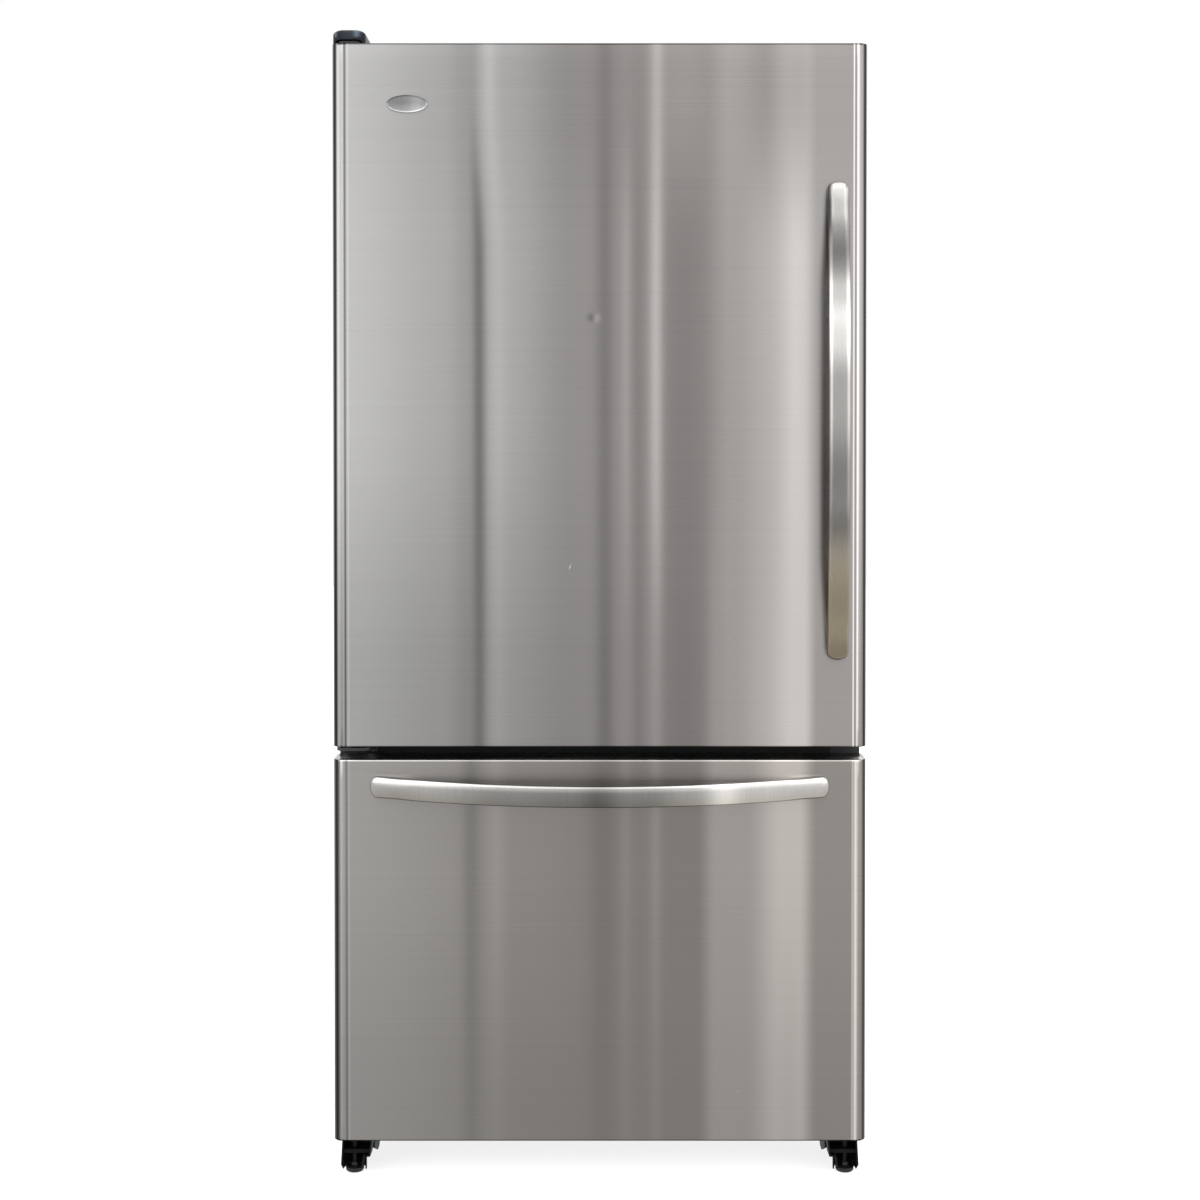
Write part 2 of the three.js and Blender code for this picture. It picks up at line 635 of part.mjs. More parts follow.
/** Rings of a bow: along runs from -1 to 1, off is the distance from the front, side the bar's width. */
function bowRings(length, drift) {
  const half = length / 2;
  const rise = HANDLE_REACH - HANDLE_THICKNESS;
  return Array.from({ length: HANDLE_STATIONS + 1 }, (_, i) => {
    const along = -Math.cos((i / HANDLE_STATIONS) * Math.PI);
    const t = Math.abs(along);
    const fromEnd = half * (1 - t);
    const tip = fromEnd < END_ROUND ? Math.sqrt(1 - (1 - fromEnd / END_ROUND) ** 2) : 1;
    const width = (HANDLE_WIDTH + (HANDLE_END_WIDTH - HANDLE_WIDTH) * t * t) * Math.max(tip, 0.3);
    const lift = rise * (1 - t ** 2.2);
    const near = CLEAR + lift * smooth((1 - t - FOOT_SHARE) / FOOT_SHARE);
    const far = lift + HANDLE_THICKNESS * (0.55 + 0.45 * tip);
    const shift = drift * (1 - t * t);
    return Array.from({ length: HANDLE_SIDES }, (_, k) => {
      const angle = (k / HANDLE_SIDES) * Math.PI * 2;
      const c = Math.cos(angle);
      const s = Math.sin(angle);
      const side = (width / 2) * Math.sign(c) * Math.abs(c) ** 0.55;
      const off = (near + far) / 2 + ((far - near) / 2) * Math.sign(s) * Math.abs(s) ** 0.75;
      return [along * half, side + shift, off];
    });
  });
}

function doorHandle() {
  const x = doorHalf - DOOR_HANDLE_IN;
  const z = doorBottom + DOOR_HANDLE_RISE + DOOR_HANDLE_LENGTH / 2;
  return loft(bowRings(DOOR_HANDLE_LENGTH, -3).map((ring) => ring.map(
    ([along, side, off]) => [x + side, doorFront - off, z + along])));
}

function drawerHandle() {
  const z = drawerTop - DRAWER_HANDLE_DROP;
  return loft(bowRings(DRAWER_HANDLE_LENGTH, 6).map((ring) => ring.map(
    ([along, side, off]) => [along, doorFront - off, z - side])));
}

place('door_handle', doorHandle(), handleSteel);
place('drawer_handle', drawerHandle(), handleSteel);

// ---- Hinges ----

const COVER_HEIGHT = 22.7;
const COVER_WALL = 2.2;
const coverX = [-doorHalf + 0.5, -doorHalf + 51.5];
const coverY = [hingeY - 17, 74];
const plateBottom = caseTop + CLEAR;

function topHinge() {
  const x = [coverX[0] + COVER_WALL + 1, coverX[1] - COVER_WALL - 1];
  const y = [hingeY - 12, coverY[1] - 6];
  const plate = upright(rounded(x, y, 13), [plateBottom, plateBottom + HINGE_PLATE]);
  const pin = bar(PIN_RADIUS, PIN_LENGTH + CASE_OVER_DOOR + 1, 'z', [hingeX, hingeY, doorTop - PIN_LENGTH]);
  const screws = [18, 52].map((yScrew) => bar(6, 5, 'z',
    [(x[0] + x[1]) / 2, yScrew, plateBottom + HINGE_PLATE - 1], 6));
  return join(plate, pin, screws);
}

/** Moulded cap over the top hinge: domed edges, open below, its front wall cut in an arch over the pin. */
function hingeCover() {
  const [x0, x1] = coverX;
  const [y0, y1] = coverY;
  const steps = 4;
  const edge = 9;
  const rings = (wall, height) => {
    const levels = [[0, 0]];
    for (let i = 0; i <= steps; i++) {
      const angle = (i / steps) * (Math.PI / 2);
      levels.push([height - edge + edge * Math.sin(angle), edge * (1 - Math.cos(angle))]);
    }
    return levels.map(([up, pull]) => rounded(
      [x0 + wall + pull, x1 - wall - pull], [y0 + wall + pull, y1 - wall - pull], 13 - wall / 2)
      .getPoints(2)
      .slice(0, -1)
      .map((point) => [point.x, point.y, plateBottom + up]));
  };
  const hollow = loft(rings(COVER_WALL, COVER_HEIGHT - COVER_WALL).map((ring, i) => (
    i ? ring : ring.map(([x, y, z]) => [x, y, z - 1]))));
  const middle = (x0 + x1) / 2;
  const front = new THREE.Shape();
  front.moveTo(middle - 21, plateBottom - 1);
  front.lineTo(middle + 21, plateBottom - 1);
  front.lineTo(middle + 21, plateBottom + 3);
  front.quadraticCurveTo(middle, plateBottom + 9, middle - 21, plateBottom + 3);
  return loft(rings(0, COVER_HEIGHT)).subtract(hollow).subtract(lengthwise(front, [y0 - 1, y0 + 8]));
}

/** Bracket between the fronts: a leaf on the case and an arm with the pin under the door. */
function middleHinge() {
  const x = [-caseHalf + 2, -caseHalf + 61];
  const armTop = doorBottom - 4;
  const arm = upright(rounded(x, [hingeY - 12, -CLEAR], [12, 26, 0, 0]), [armTop - HINGE_PLATE - 1, armTop]);
  const leaf = block(x, [-CLEAR - 3, -CLEAR], [armTop - 15, armTop + 5]);
  const washer = bar(9, doorBottom - armTop - CLEAR, 'z', [hingeX, hingeY, armTop], 20);
  const pin = bar(PIN_RADIUS, PIN_LENGTH + 4, 'z', [hingeX, hingeY, armTop]);
  return join(arm, leaf, washer, pin);
}

place('top_hinge', topHinge(), zincSteel);
place('hinge_cover', hingeCover(), capSlate);
place('middle_hinge', middleHinge(), blackSteel);

// ---- Feet: front brackets with a roller and a levelling leg each, and rear rollers ----

const BRACKET_FROM_SIDE = 8; // case side to the bracket's outer cheek
const BRACKET_WIDTH = 48;
const BRACKET_SHEET = 2.5;
const BRACKET_REAR = 85;
const BOOT_BEHIND_FRONT = 28; // drawer front to the boot's open face
const BOOT_DEPTH = 36;
const BOOT_UNDER_DRAWER = 9;
const BOOT_BOTTOM = 9.5;
const BOOT_FLARE = 2; // how far the boot's outer side leans out towards the floor
const BOOT_TOE = 6; // height of the slanted corner at its outer foot
const EAR_WIDTH = 12; // inner part of the boot, which stops short above the floor
const EAR_BOTTOM = 28;
const LEG_IN = 19; // bracket's outer cheek to the leg
const LEG_Y = -36;
const LEG_DROP = 12;
const LEG_SHELF = [32, 38]; // web that carries the leg's thread
const FRONT_AXLE_Y = 40;
const FRONT_ROLLER_LIFT = 0.5;
const bracketOut = caseHalf - BRACKET_FROM_SIDE;
const bracketIn = bracketOut - BRACKET_WIDTH;
const legX = bracketOut - LEG_IN;
const bracketTop = PAN_TOP - SHEET - CLEAR;
const frontAxleZ = ROLLER_RADIUS + FRONT_ROLLER_LIFT;
const sillClear = CASE_BOTTOM - CLEAR;
const bootFront = doorFront + BOOT_BEHIND_FRONT;
const bootRear = bootFront + BOOT_DEPTH;
const bootTop = DRAWER_BOTTOM - BOOT_UNDER_DRAWER;

/** The boot's outline from the front, drawn in by a wall and carried past its open top and foot. */
function bootOutline(side, wall, past) {
  const taper = 3;
  const foot = bracketIn + EAR_WIDTH + taper + wall;
  return outline([
    [bracketIn + wall, bootTop + past], [bracketIn + taper + wall, EAR_BOTTOM + wall],
    [bracketIn + EAR_WIDTH + wall, EAR_BOTTOM - 1 + wall], [foot, BOOT_BOTTOM - past],
    [bracketOut - BOOT_FLARE - wall, BOOT_BOTTOM - past],
    [bracketOut + BOOT_FLARE / 2 - wall, BOOT_BOTTOM + BOOT_TOE],
    [bracketOut - BOOT_FLARE / 2 - wall, bootTop + past],
  ].map(([x, z]) => [side * x, z]));
}

/** Front bracket: a boot round the levelling leg, and two cheeks behind it that carry the roller. */
function frontBracket(side) {
  const span = (near, far) => onSide(side, near, far);
  const behindSill = SHEET * 2 + CLEAR * 3;
  const underSill = sillClear - 1.5;
  const boot = lengthwise(bootOutline(side, 0, 0), [bootFront, bootRear])
    .subtract(lengthwise(bootOutline(side, BRACKET_SHEET, 1), [bootFront - 1, bootRear - BRACKET_SHEET]));
  const shelf = lengthwise(bootOutline(side, 1, 0), [bootFront + 6, bootRear - 1])
    .intersect(block(span(bracketIn, bracketOut + BOOT_FLARE), [bootFront, bootRear], LEG_SHELF));
  const rib = block(span(bracketIn + EAR_WIDTH, bracketIn + EAR_WIDTH + BRACKET_SHEET),
    [bootFront + 6, bootRear - 1], [EAR_BOTTOM - 1, LEG_SHELF[0] + 1]);
  const outerCheek = outline([
    [BRACKET_REAR, bracketTop], [behindSill, bracketTop], [behindSill, underSill], [bootRear - 1, underSill],
    [bootRear - 1, BOOT_BOTTOM + 2], [FRONT_AXLE_Y + 14, 8], [BRACKET_REAR, 32],
  ]);
  const innerCheek = outline([
    [BRACKET_REAR, bracketTop], [behindSill, bracketTop], [behindSill, underSill], [bootRear - 1, underSill],
    [bootRear - 1, EAR_BOTTOM + 2], [FRONT_AXLE_Y - 10, 10], [FRONT_AXLE_Y + 10, 10], [BRACKET_REAR, 32],
  ]);
  const web = block(
    span(bracketIn, bracketOut), [bootRear - 1, behindSill + 1], [underSill - BRACKET_SHEET, underSill]);
  const roof = block(
    span(bracketIn, bracketOut), [behindSill, BRACKET_REAR], [bracketTop - BRACKET_SHEET, bracketTop]);
  const axle = bar(AXLE_RADIUS, bracketOut - bracketIn, 'x',
    [side > 0 ? bracketIn : -bracketOut, FRONT_AXLE_Y, frontAxleZ]);
  return join(
    boot, shelf, rib,
    sideways(outerCheek, span(bracketOut - BRACKET_SHEET, bracketOut)),
    sideways(innerCheek, span(bracketIn, bracketIn + BRACKET_SHEET)),
    web, roof, axle,
  ).subtract(bar(LEG_STEM_RADIUS + CLEAR, bootTop, 'z', [side * legX, LEG_Y, 0], 12));
}

/** A hub and a crowned tread in one moulding, bored for its axle. */
function roller(radius, tread, hub, centre) {
  const bore = AXLE_RADIUS + CLEAR;
  const crown = 3;
  return turned([
    [bore, -hub / 2], [bore + 3.5, -hub / 2], [bore + 3.5, -tread / 2], [radius - crown, -tread / 2],
    [radius, -tread / 2 + crown], [radius, tread / 2 - crown],
    [radius - crown, tread / 2], [bore + 3.5, tread / 2], [bore + 3.5, hub / 2],
    [bore, hub / 2], [bore, -hub / 2],
  ], 'x', centre, 12);
}

/** Levelling leg: a domed pad, a hexagonal collar for the spanner and a threaded stem. */
function levellingLeg(side) {
  const r = LEG_STEM_RADIUS;
  const pad = LEG_PAD_RADIUS;
  const dome = 10.5;
  const stemTop = LEG_SHELF[1] + LEG_DROP + 2.5;
  const body = turned([
    [0, 0], [pad - 5, 0], [pad - 1.2, 2], [pad, 6], [pad - 3, 9], [r, dome], [r, stemTop], [0, stemTop],
  ], 'z', [side * legX, LEG_Y, 0], 16);
  return body.add(bar(8, 6, 'z', [side * legX, LEG_Y, dome - 1], 6));
}

for (const [word, side] of [['left', -1], ['right', 1]]) {
  const bracketMiddle = side * (bracketIn + bracketOut) / 2;
  const hubWidth = bracketOut - bracketIn - 2 * BRACKET_SHEET - 2 * CLEAR;
  place(`front_bracket_${word}`, frontBracket(side), blackSteel);
  place(`front_roller_${word}`,
    roller(ROLLER_RADIUS, 26, hubWidth, [bracketMiddle, FRONT_AXLE_Y, frontAxleZ]), rubberBlack);
  place(`levelling_leg_${word}`, levellingLeg(side), rubberBlack);
  place(`rear_roller_${word}`,
    roller(REAR_ROLLER_RADIUS, 20, REAR_FORK_HALF * 2 - CLEAR * 2,
      [side * rearAxleX, REAR_AXLE_Y, REAR_ROLLER_RADIUS]), rubberBlack);
}

// ---- Fresh-food compartment: shelves, crispers, controls and lamp ----

const shelfHalf = wallHalf - 4;
const REBATE = 4;

function shelfPlan(inset, corner) {
  return rounded(across(shelfHalf - inset), [SHELF_FRONT + inset, shelfRear - inset], corner);
}

/** Moulded shelf frame with a rebate for its glass; the one over the crispers has a middle rib below. */
function shelfFrame(level, withRib) {
  const top = level + SHELF_HEIGHT;
  const frame = upright(shelfPlan(0, 6), [level, top], 1)
    .subtract(upright(shelfPlan(SHELF_RIM, 4), [level - 1, top + 1], 1))
    .subtract(upright(shelfPlan(REBATE, 3), [top - GLASS - CLEAR, top + 1], 1));
  if (!withRib) return frame;
  const rib = block(
    across(2.5), [SHELF_FRONT + 2, shelfRear - 2], [level - 6, level + SHELF_HEIGHT - GLASS - 1]);
  return frame.add(rib);
}

function shelfPane(level) {
  const top = level + SHELF_HEIGHT;
  return upright(shelfPlan(REBATE + CLEAR, 3), [top - GLASS, top], 1);
}

const crisperFront = SHELF_FRONT + CRISPER_SET_BACK;
const crisperRear = shelfRear - CRISPER_REAR_GAP;
const crisperHalf = wallHalf - LEDGE - 3;
const CRISPER_NEAR = 4;

/** An open box with rounded upright edges and a floor. */
function tub([x0, x1], [y0, y1], [z0, z1], wall, corners) {
  const xs = [Math.min(x0, x1), Math.max(x0, x1)];
  const inside = corners.map((corner) => Math.max(corner - wall, 0.5));
  return upright(rounded(xs, [y0, y1], corners), [z0, z1])
    .subtract(upright(
      rounded([xs[0] + wall, xs[1] - wall], [y0 + wall, y1 - wall], inside), [z0 + wall, z1 + 1]));
}

/** Crisper drawer with a pull lip along its front edge. */
function crisper(side) {
  const x = onSide(side, CRISPER_NEAR, crisperHalf);
  const body = tub(x, [crisperFront, crisperRear], [crisperBottom, crisperTop], PLASTIC, [12, 12, 12, 12]);
  const lip = sideways(outline([
    [crisperFront + 1, crisperTop], [crisperFront - 12, crisperTop], [crisperFront - 15, crisperTop - 5],
    [crisperFront - 14, crisperTop - 20], [crisperFront - 11.5, crisperTop - 20],
    [crisperFront - 12, crisperTop - 4], [crisperFront + 1, crisperTop - 3],
  ]), onSide(side, CRISPER_NEAR + 24, crisperHalf - 24));
  return body.add(lip);
}

place('lower_shelf_frame', shelfFrame(shelfLevels.lower, false), linerWhite);
place('lower_shelf_glass', shelfPane(shelfLevels.lower), shelfGlass);
place('upper_shelf_frame', shelfFrame(shelfLevels.upper, false), linerWhite);
place('upper_shelf_glass', shelfPane(shelfLevels.upper), shelfGlass);
place('crisper_cover_frame', shelfFrame(shelfLevels.cover, true), linerWhite);
place('crisper_cover_glass', shelfPane(shelfLevels.cover), shelfGlass);
place('crisper_left', crisper(-1), clearPlastic);
place('crisper_right', crisper(1), clearPlastic);

const HOUSING_HALF = 175;
const HOUSING_FRONT = 132;
const HOUSING_DEPTH = 215;
const HOUSING_DROP = 42;
const KNOB_X = 95;
const KNOB_RADIUS = 12;
const KNOB_DEPTH = 14;
const SPINDLE = 3;
const housingTop = fridgeCeiling - CLEAR;
const knobZ = housingTop - 15;

/** Control box under the ceiling, with a slanting underside and a socket for each knob's spindle. */
function controlHousing() {
  const rear = HOUSING_FRONT + HOUSING_DEPTH;
  const profile = outline([
    [HOUSING_FRONT, housingTop], [HOUSING_FRONT, housingTop - 29],
    [HOUSING_FRONT + 14, housingTop - HOUSING_DROP],
    [rear - 30, housingTop - HOUSING_DROP + 4], [rear, housingTop - 12], [rear, housingTop],
  ]);
  const sockets = [-1, 1].map(
    (side) => bar(SPINDLE + CLEAR, 11, 'y', [side * KNOB_X, HOUSING_FRONT - 1, knobZ], 12));
  return sockets.reduce((piece, hole) => piece.subtract(hole), sideways(profile, across(HOUSING_HALF)));
}

/** Knob: skirt, grip bar and spindle. */
function knob(x) {
  const front = HOUSING_FRONT - CLEAR;
  const skirt = turned([
    [0, 0], [KNOB_RADIUS, 0], [KNOB_RADIUS, 3], [KNOB_RADIUS - 1.5, 4.5], [0, 4.5],
  ], 'y', [x, front - 4.5, knobZ], 24);
  const grip = block(
    [x - 2.5, x + 2.5], [front - KNOB_DEPTH, front - 1],
    [knobZ - KNOB_RADIUS + 2, knobZ + KNOB_RADIUS - 2]);
  return join(skirt, grip, bar(SPINDLE, 10, 'y', [x, front - 1, knobZ], 12));
}

const LENS_HALF = 70;
const lensFront = HOUSING_FRONT + HOUSING_DEPTH + 3;

/** Lamp cover behind the controls: a ribbed shell, open above. */
function lampLens() {
  const y = [lensFront, lensFront + 78];
  const z = [housingTop - 26, housingTop];
  const shell = block(across(LENS_HALF), y, z)
    .subtract(block(across(LENS_HALF - 2), [y[0] + 2, y[1] - 2], [z[0] + 2, z[1] + 1]));
  const pitch = 15;
  const count = Math.floor((LENS_HALF * 2 - 5) / pitch);
  const ribs = Array.from({ length: count }, (_, i) => {
    const x = (i - (count - 1) / 2) * pitch;
    return block([x - 1.5, x + 1.5], [y[0] + 6, y[1] - 6], [z[0] - 1.5, z[0] + 0.5]);
  });
  return join(shell, ribs);
}

place('control_housing', controlHousing(), linerWhite);
place('temperature_knob_left', knob(-KNOB_X), linerWhite);
place('temperature_knob_right', knob(KNOB_X), linerWhite);
place('lamp_lens', lampLens(), clearPlastic);

// ---- Door bins and dairy flap ----

const EAR_HALF = binHalf + EAR_REACH;
const FLAP_WALL = 2.5;
const FLAP_HANG = 34;
const FLAP_PIN = 3;
const FLAP_BARREL = 4.5;
const FLAP_CHEEK = 26; // how far the raised side wall reaches from the panel
const flapHalf = binHalf - PLASTIC - 1;
const pivot = { y: binFront + 8, z: dairyTop + 10 };

/** Door bin with bowed inner corners and an ear on each side that sits on the panel's lug. */
function doorBin([z0, z1]) {
  const y = [binFront, binFront + BIN_DEPTH];
  const body = tub(across(binHalf), y, [z0, z1], PLASTIC, [2, 2, BIN_CORNER, BIN_CORNER]);
  const ears = [-1, 1].map((side) => block(
    onSide(side, binHalf - 1, EAR_HALF), [binFront + EAR_AHEAD, binFront + EAR_AHEAD + EAR_LENGTH],
    [z1 - EAR_HEIGHT, z1]));
  return body.add(join(ears));
}

/** Dairy bin: a door bin whose side walls rise at the rear to hold the flap's pins. */
function dairyBin() {
  const ears = [-1, 1].map((side) => {
    const cheek = outline([
      [binFront, dairyTop - 2], [binFront + FLAP_CHEEK, dairyTop - 2],
      [binFront + FLAP_CHEEK - 9, pivot.z + 4], [binFront + FLAP_CHEEK / 2, pivot.z + 7],
      [binFront, pivot.z + 7],
    ]);
    return sideways(cheek, onSide(side, binHalf - PLASTIC, binHalf))
      .subtract(bar(FLAP_PIN + CLEAR, 10, 'x', [side * binHalf - 5, pivot.y, pivot.z], 12));
  });
  return doorBin(bins.dairy_bin).add(join(ears));
}

/** Curved flap that lifts about the pins at its rear edge. */
function dairyFlap() {
  const top = pivot.z + FLAP_BARREL;
  const front = binFront + BIN_DEPTH + CLEAR + 1;
  const bend = 14;
  const sheet = new THREE.Shape();
  sheet.moveTo(pivot.y, top);
  sheet.lineTo(front + FLAP_WALL - bend, top);
  sheet.absarc(front + FLAP_WALL - bend, top - bend, bend, Math.PI / 2, 0, true);
  sheet.lineTo(front + FLAP_WALL, top - FLAP_HANG);
  sheet.lineTo(front, top - FLAP_HANG);
  sheet.lineTo(front, top - bend);
  sheet.absarc(front + FLAP_WALL - bend, top - bend, bend - FLAP_WALL, 0, Math.PI / 2, false);
  sheet.lineTo(pivot.y, top - FLAP_WALL);
  const barrel = bar(FLAP_BARREL, flapHalf * 2, 'x', [-flapHalf, pivot.y, pivot.z], 12);
  const pins = bar(FLAP_PIN, (binHalf - 0.2) * 2, 'x', [-binHalf + 0.2, pivot.y, pivot.z], 12);
  return join(sideways(sheet, across(flapHalf), 4), barrel, pins);
}

place('door_bin_lower', doorBin(bins.door_bin_lower), clearPlastic);
place('door_bin_upper', doorBin(bins.door_bin_upper), clearPlastic);
place('dairy_bin', dairyBin(), clearPlastic);
place('dairy_flap', dairyFlap(), clearPlastic);

// ---- Freezer: slide rails, drawer frame and baskets ----

const RAIL_FRONT = 10;
const RAIL_REAR_GAP = 33; // rail's rear end to the evaporator cover
const RAIL_RISE = 17; // freezer step to the rail
const RAIL_HEIGHT = 40;
const FRAME_SHORTER = 30; // rail's rear end to the drawer frame's
const RAIL_DEPTH = 12.7;
const railRear = coverRear - RAIL_REAR_GAP;
const railZ = [stepTop + RAIL_RISE, stepTop + RAIL_RISE + RAIL_HEIGHT];
const FRAME_PLAY = 1;
const RAIL_FLANGE = 3;
const frameRear = railRear - FRAME_SHORTER;
const railMouth = wallHalf - CLEAR - RAIL_DEPTH;
const barX = [railMouth + 2, railMouth + RAIL_DEPTH - SHEET - FRAME_PLAY];
const barZ = [railZ[0] + SHEET + 2, railZ[1] - SHEET - 2];
const flangeZ = [barZ[1] - 14, barZ[1] - 14 + RAIL_FLANGE];
const flangeIn = railMouth - 10;

/** Fixed channel on the liner's wall, open towards the drawer, with a guide roller at its front end. */
function slideRail(side) {
  const y = [RAIL_FRONT, railRear];
  const outside = wallHalf - CLEAR;
  return block(onSide(side, railMouth, outside), y, railZ)
    .subtract(block(onSide(side, railMouth - 1, outside - SHEET), [y[0] - 1, y[1] + 1],
      [railZ[0] + SHEET, railZ[1] - SHEET]));
}

/** Drawer frame: a bar in each channel, a shelf for the basket's rim, feet on the front, a rear tie. */
function drawerFrame() {
  const y = [panelFace + CLEAR, frameRear];
  const sides = [-1, 1].flatMap((side) => [
    block(onSide(side, ...barX), y, barZ),
    block(onSide(side, flangeIn, barX[0] + 1), y, flangeZ),
    block(onSide(side, flangeIn - 4, barX[1]), [y[0], y[0] + BRACKET_SHEET], [barZ[0] - 16, barZ[1] + 16]),
  ]);
  const tie = block(
    across(flangeIn + 1), [frameRear - RAIL_FLANGE, frameRear], [flangeZ[0] - 12, flangeZ[1]]);
  return join(sides, tie);
}

const BASKET_FRONT = 12;
const SLOT_WIDTH = 7;
const SLOT_PITCH = 58;

/** Basket: a tub with slotted long walls and a rim that lies on its carrier on both sides. */
function basket(half, rimHalf, [y0, y1], [z0, z1], rows) {
  const rim = 3;
  const body = tub(across(half), [y0, y1], [z0, z1], BASKET_WALL, [14, 14, 14, 14]);
  const flanges = [-1, 1].map((side) => block(
    onSide(side, half - 1, rimHalf), [y0 + 14, y1 - 14], [z1 - rim, z1]));
  const count = Math.floor((half * 2 - 60) / SLOT_PITCH);
  const slots = rows.flatMap(([from, to]) => Array.from({ length: count }, (_, i) => {
    const x = (i - (count - 1) / 2) * SLOT_PITCH;
    return block([x - SLOT_WIDTH / 2, x + SLOT_WIDTH / 2], [y0 - 1, y1 + 1], [from, to]);
  }));
  return slots.reduce((piece, slot) => piece.subtract(slot), body.add(join(flanges)));
}

const lowerTop = flangeZ[1] + CLEAR + 3;
const lowerBottom = freezerFloor + 6;
const lowerRear = stepRear - 10;
const upperTop = BASKET_LEDGE_TOP + CLEAR + 3;
const UPPER_HEIGHT = 106;

place('slide_rail_left', slideRail(-1), zincSteel);
place('slide_rail_right', slideRail(1), zincSteel);
place('drawer_frame', drawerFrame(), zincSteel);
place('lower_basket', basket(flangeIn - 6, flangeIn + 9, [BASKET_FRONT, lowerRear], [lowerBottom, lowerTop],
  [[lowerBottom + 60, lowerTop - 60]]), linerWhite);
place('upper_basket', basket(wallHalf - LEDGE - 6, wallHalf - 5, [BASKET_FRONT + 8, coverRear - 140],
  [upperTop - UPPER_HEIGHT, upperTop], [[upperTop - UPPER_HEIGHT + 24, upperTop - 22]]), linerWhite);

// ---- Cooling: fans, evaporator, condenser and compressor ----

/** Twisted fan wheel turning about the z axis, bored for its shaft. */
function fanWheel({ radius, hub, depth, count, bore }) {
  const wheel = turned([[bore, 0], [hub, 0], [hub, depth], [bore, depth], [bore, 0]], 'z', [0, 0, 0], 12);
  const stations = 3;
  const thickness = 1.8;
  const blades = Array.from({ length: count }, (_, n) => {
    const rings = Array.from({ length: stations + 1 }, (_, i) => {
      const share = i / stations;
      const r = hub - 1.5 + (radius - hub + 1.5) * share;
      const pitch = 0.95 - 0.5 * share;
      const widest = (depth - 2 - thickness * 2) / Math.sin(pitch);
      const chord = Math.min(hub * 0.8 + (radius * 0.62 - hub * 0.8) * Math.sqrt(share), widest);
      const sweep = 0.28 * share;
      const turn = (n / count) * Math.PI * 2 + sweep;
      const corners = [[-0.5, -0.5], [0, -0.5], [0.5, -0.5], [0.5, 0.5], [0, 0.5], [-0.5, 0.5]];
      return corners.map(([u, v]) => {
        const camber = u === 0 ? chord * 0.06 : 0;
        const alongChord = u * chord;
        const off = v * thickness + camber;
        const tangential = alongChord * Math.cos(pitch) - off * Math.sin(pitch);
        const axial = alongChord * Math.sin(pitch) + off * Math.cos(pitch);
        return [
          r * Math.cos(turn) - tangential * Math.sin(turn),
          r * Math.sin(turn) + tangential * Math.cos(turn),
          depth / 2 + axial,
        ];
      });
    });
    return loft(rings);
  });
  return join(wheel, blades);
}

/** Moves a solid built about the z axis so that it turns about another axis through a point. */
function stand(piece, axis, centre) {
  const { vertProperties, triVerts } = piece.getMesh();
  const geometry = new THREE.BufferGeometry();
  geometry.setAttribute('position', new THREE.BufferAttribute(vertProperties, 3));
  geometry.setIndex(new THREE.BufferAttribute(triVerts, 1));
  const turn = new THREE.Quaternion().setFromUnitVectors(AXES.z, AXES[axis]);
  return solid(geometry.applyQuaternion(turn).translate(...centre));
}

const EVAP_FAN_RADIUS = 43;
const evapFanZ = freezerCeiling - 60;
const SHAFT = 2.5;
const evapFanY = coverRear + 12;
const EVAP_FAN_DEPTH = 18;

/** Evaporator fan motor on its plate at the liner's rear wall, with its shaft forward. */
function evaporatorFanMotor() {
  const rear = freezerRear - CLEAR;
  const can = bar(19, 26, 'y', [0, rear - 36, evapFanZ], 20);
  const plate = block(across(48), [rear - 3, rear], [evapFanZ - 32, evapFanZ + 32]);
  const posts = [-1, 1].map((side) => block(
    onSide(side, 14, 22), [rear - 14, rear - 1], [evapFanZ - 6, evapFanZ + 6]));
  const shaft = bar(SHAFT, rear - 30 - evapFanY, 'y', [0, evapFanY, evapFanZ], 10);
  return join(can, plate, posts, shaft);
}

const COIL_TUBE = 4;
const evapZ = [stepTop + 18, stepTop + 160];
const EVAP_FROM_WALL = 93; // freezer wall to the evaporator's end plates
const FIN_PITCH = 72;
const evapHalf = wallHalf - EVAP_FROM_WALL;

/** Evaporator: one tube run back and forth through plate fins between two end plates. */
function evaporator() {
  const y = coverRear + 36;
  const levels = Array.from({ length: 3 }, (_, i) => evapZ[0] + 22 + i * 49);
  const reach = evapHalf + 10;
  const corners = levels.flatMap((z, i) => (
    i % 2 ? [[reach, y, z], [-reach, y, z]] : [[-reach, y, z], [reach, y, z]]));
  const tube = pipe(corners, COIL_TUBE, 22, 5);
  const finCount = Math.floor((evapHalf * 2) / FIN_PITCH);
  const fins = Array.from({ length: finCount }, (_, i) => {
    const x = (i - (finCount - 1) / 2) * FIN_PITCH;
    return block([x - 0.5, x + 0.5], [coverRear + 8, coverRear + 64], [evapZ[0], evapZ[1]]);
  });
  const ends = [-1, 1].map((side) => block(
    onSide(side, evapHalf - 3, evapHalf),
    [coverRear + 4, freezerRear - CLEAR], [evapZ[0] - 12, evapZ[1] + 6]));
  return join(ends, fins, tube);
}

const COVER_SHEET = 3;

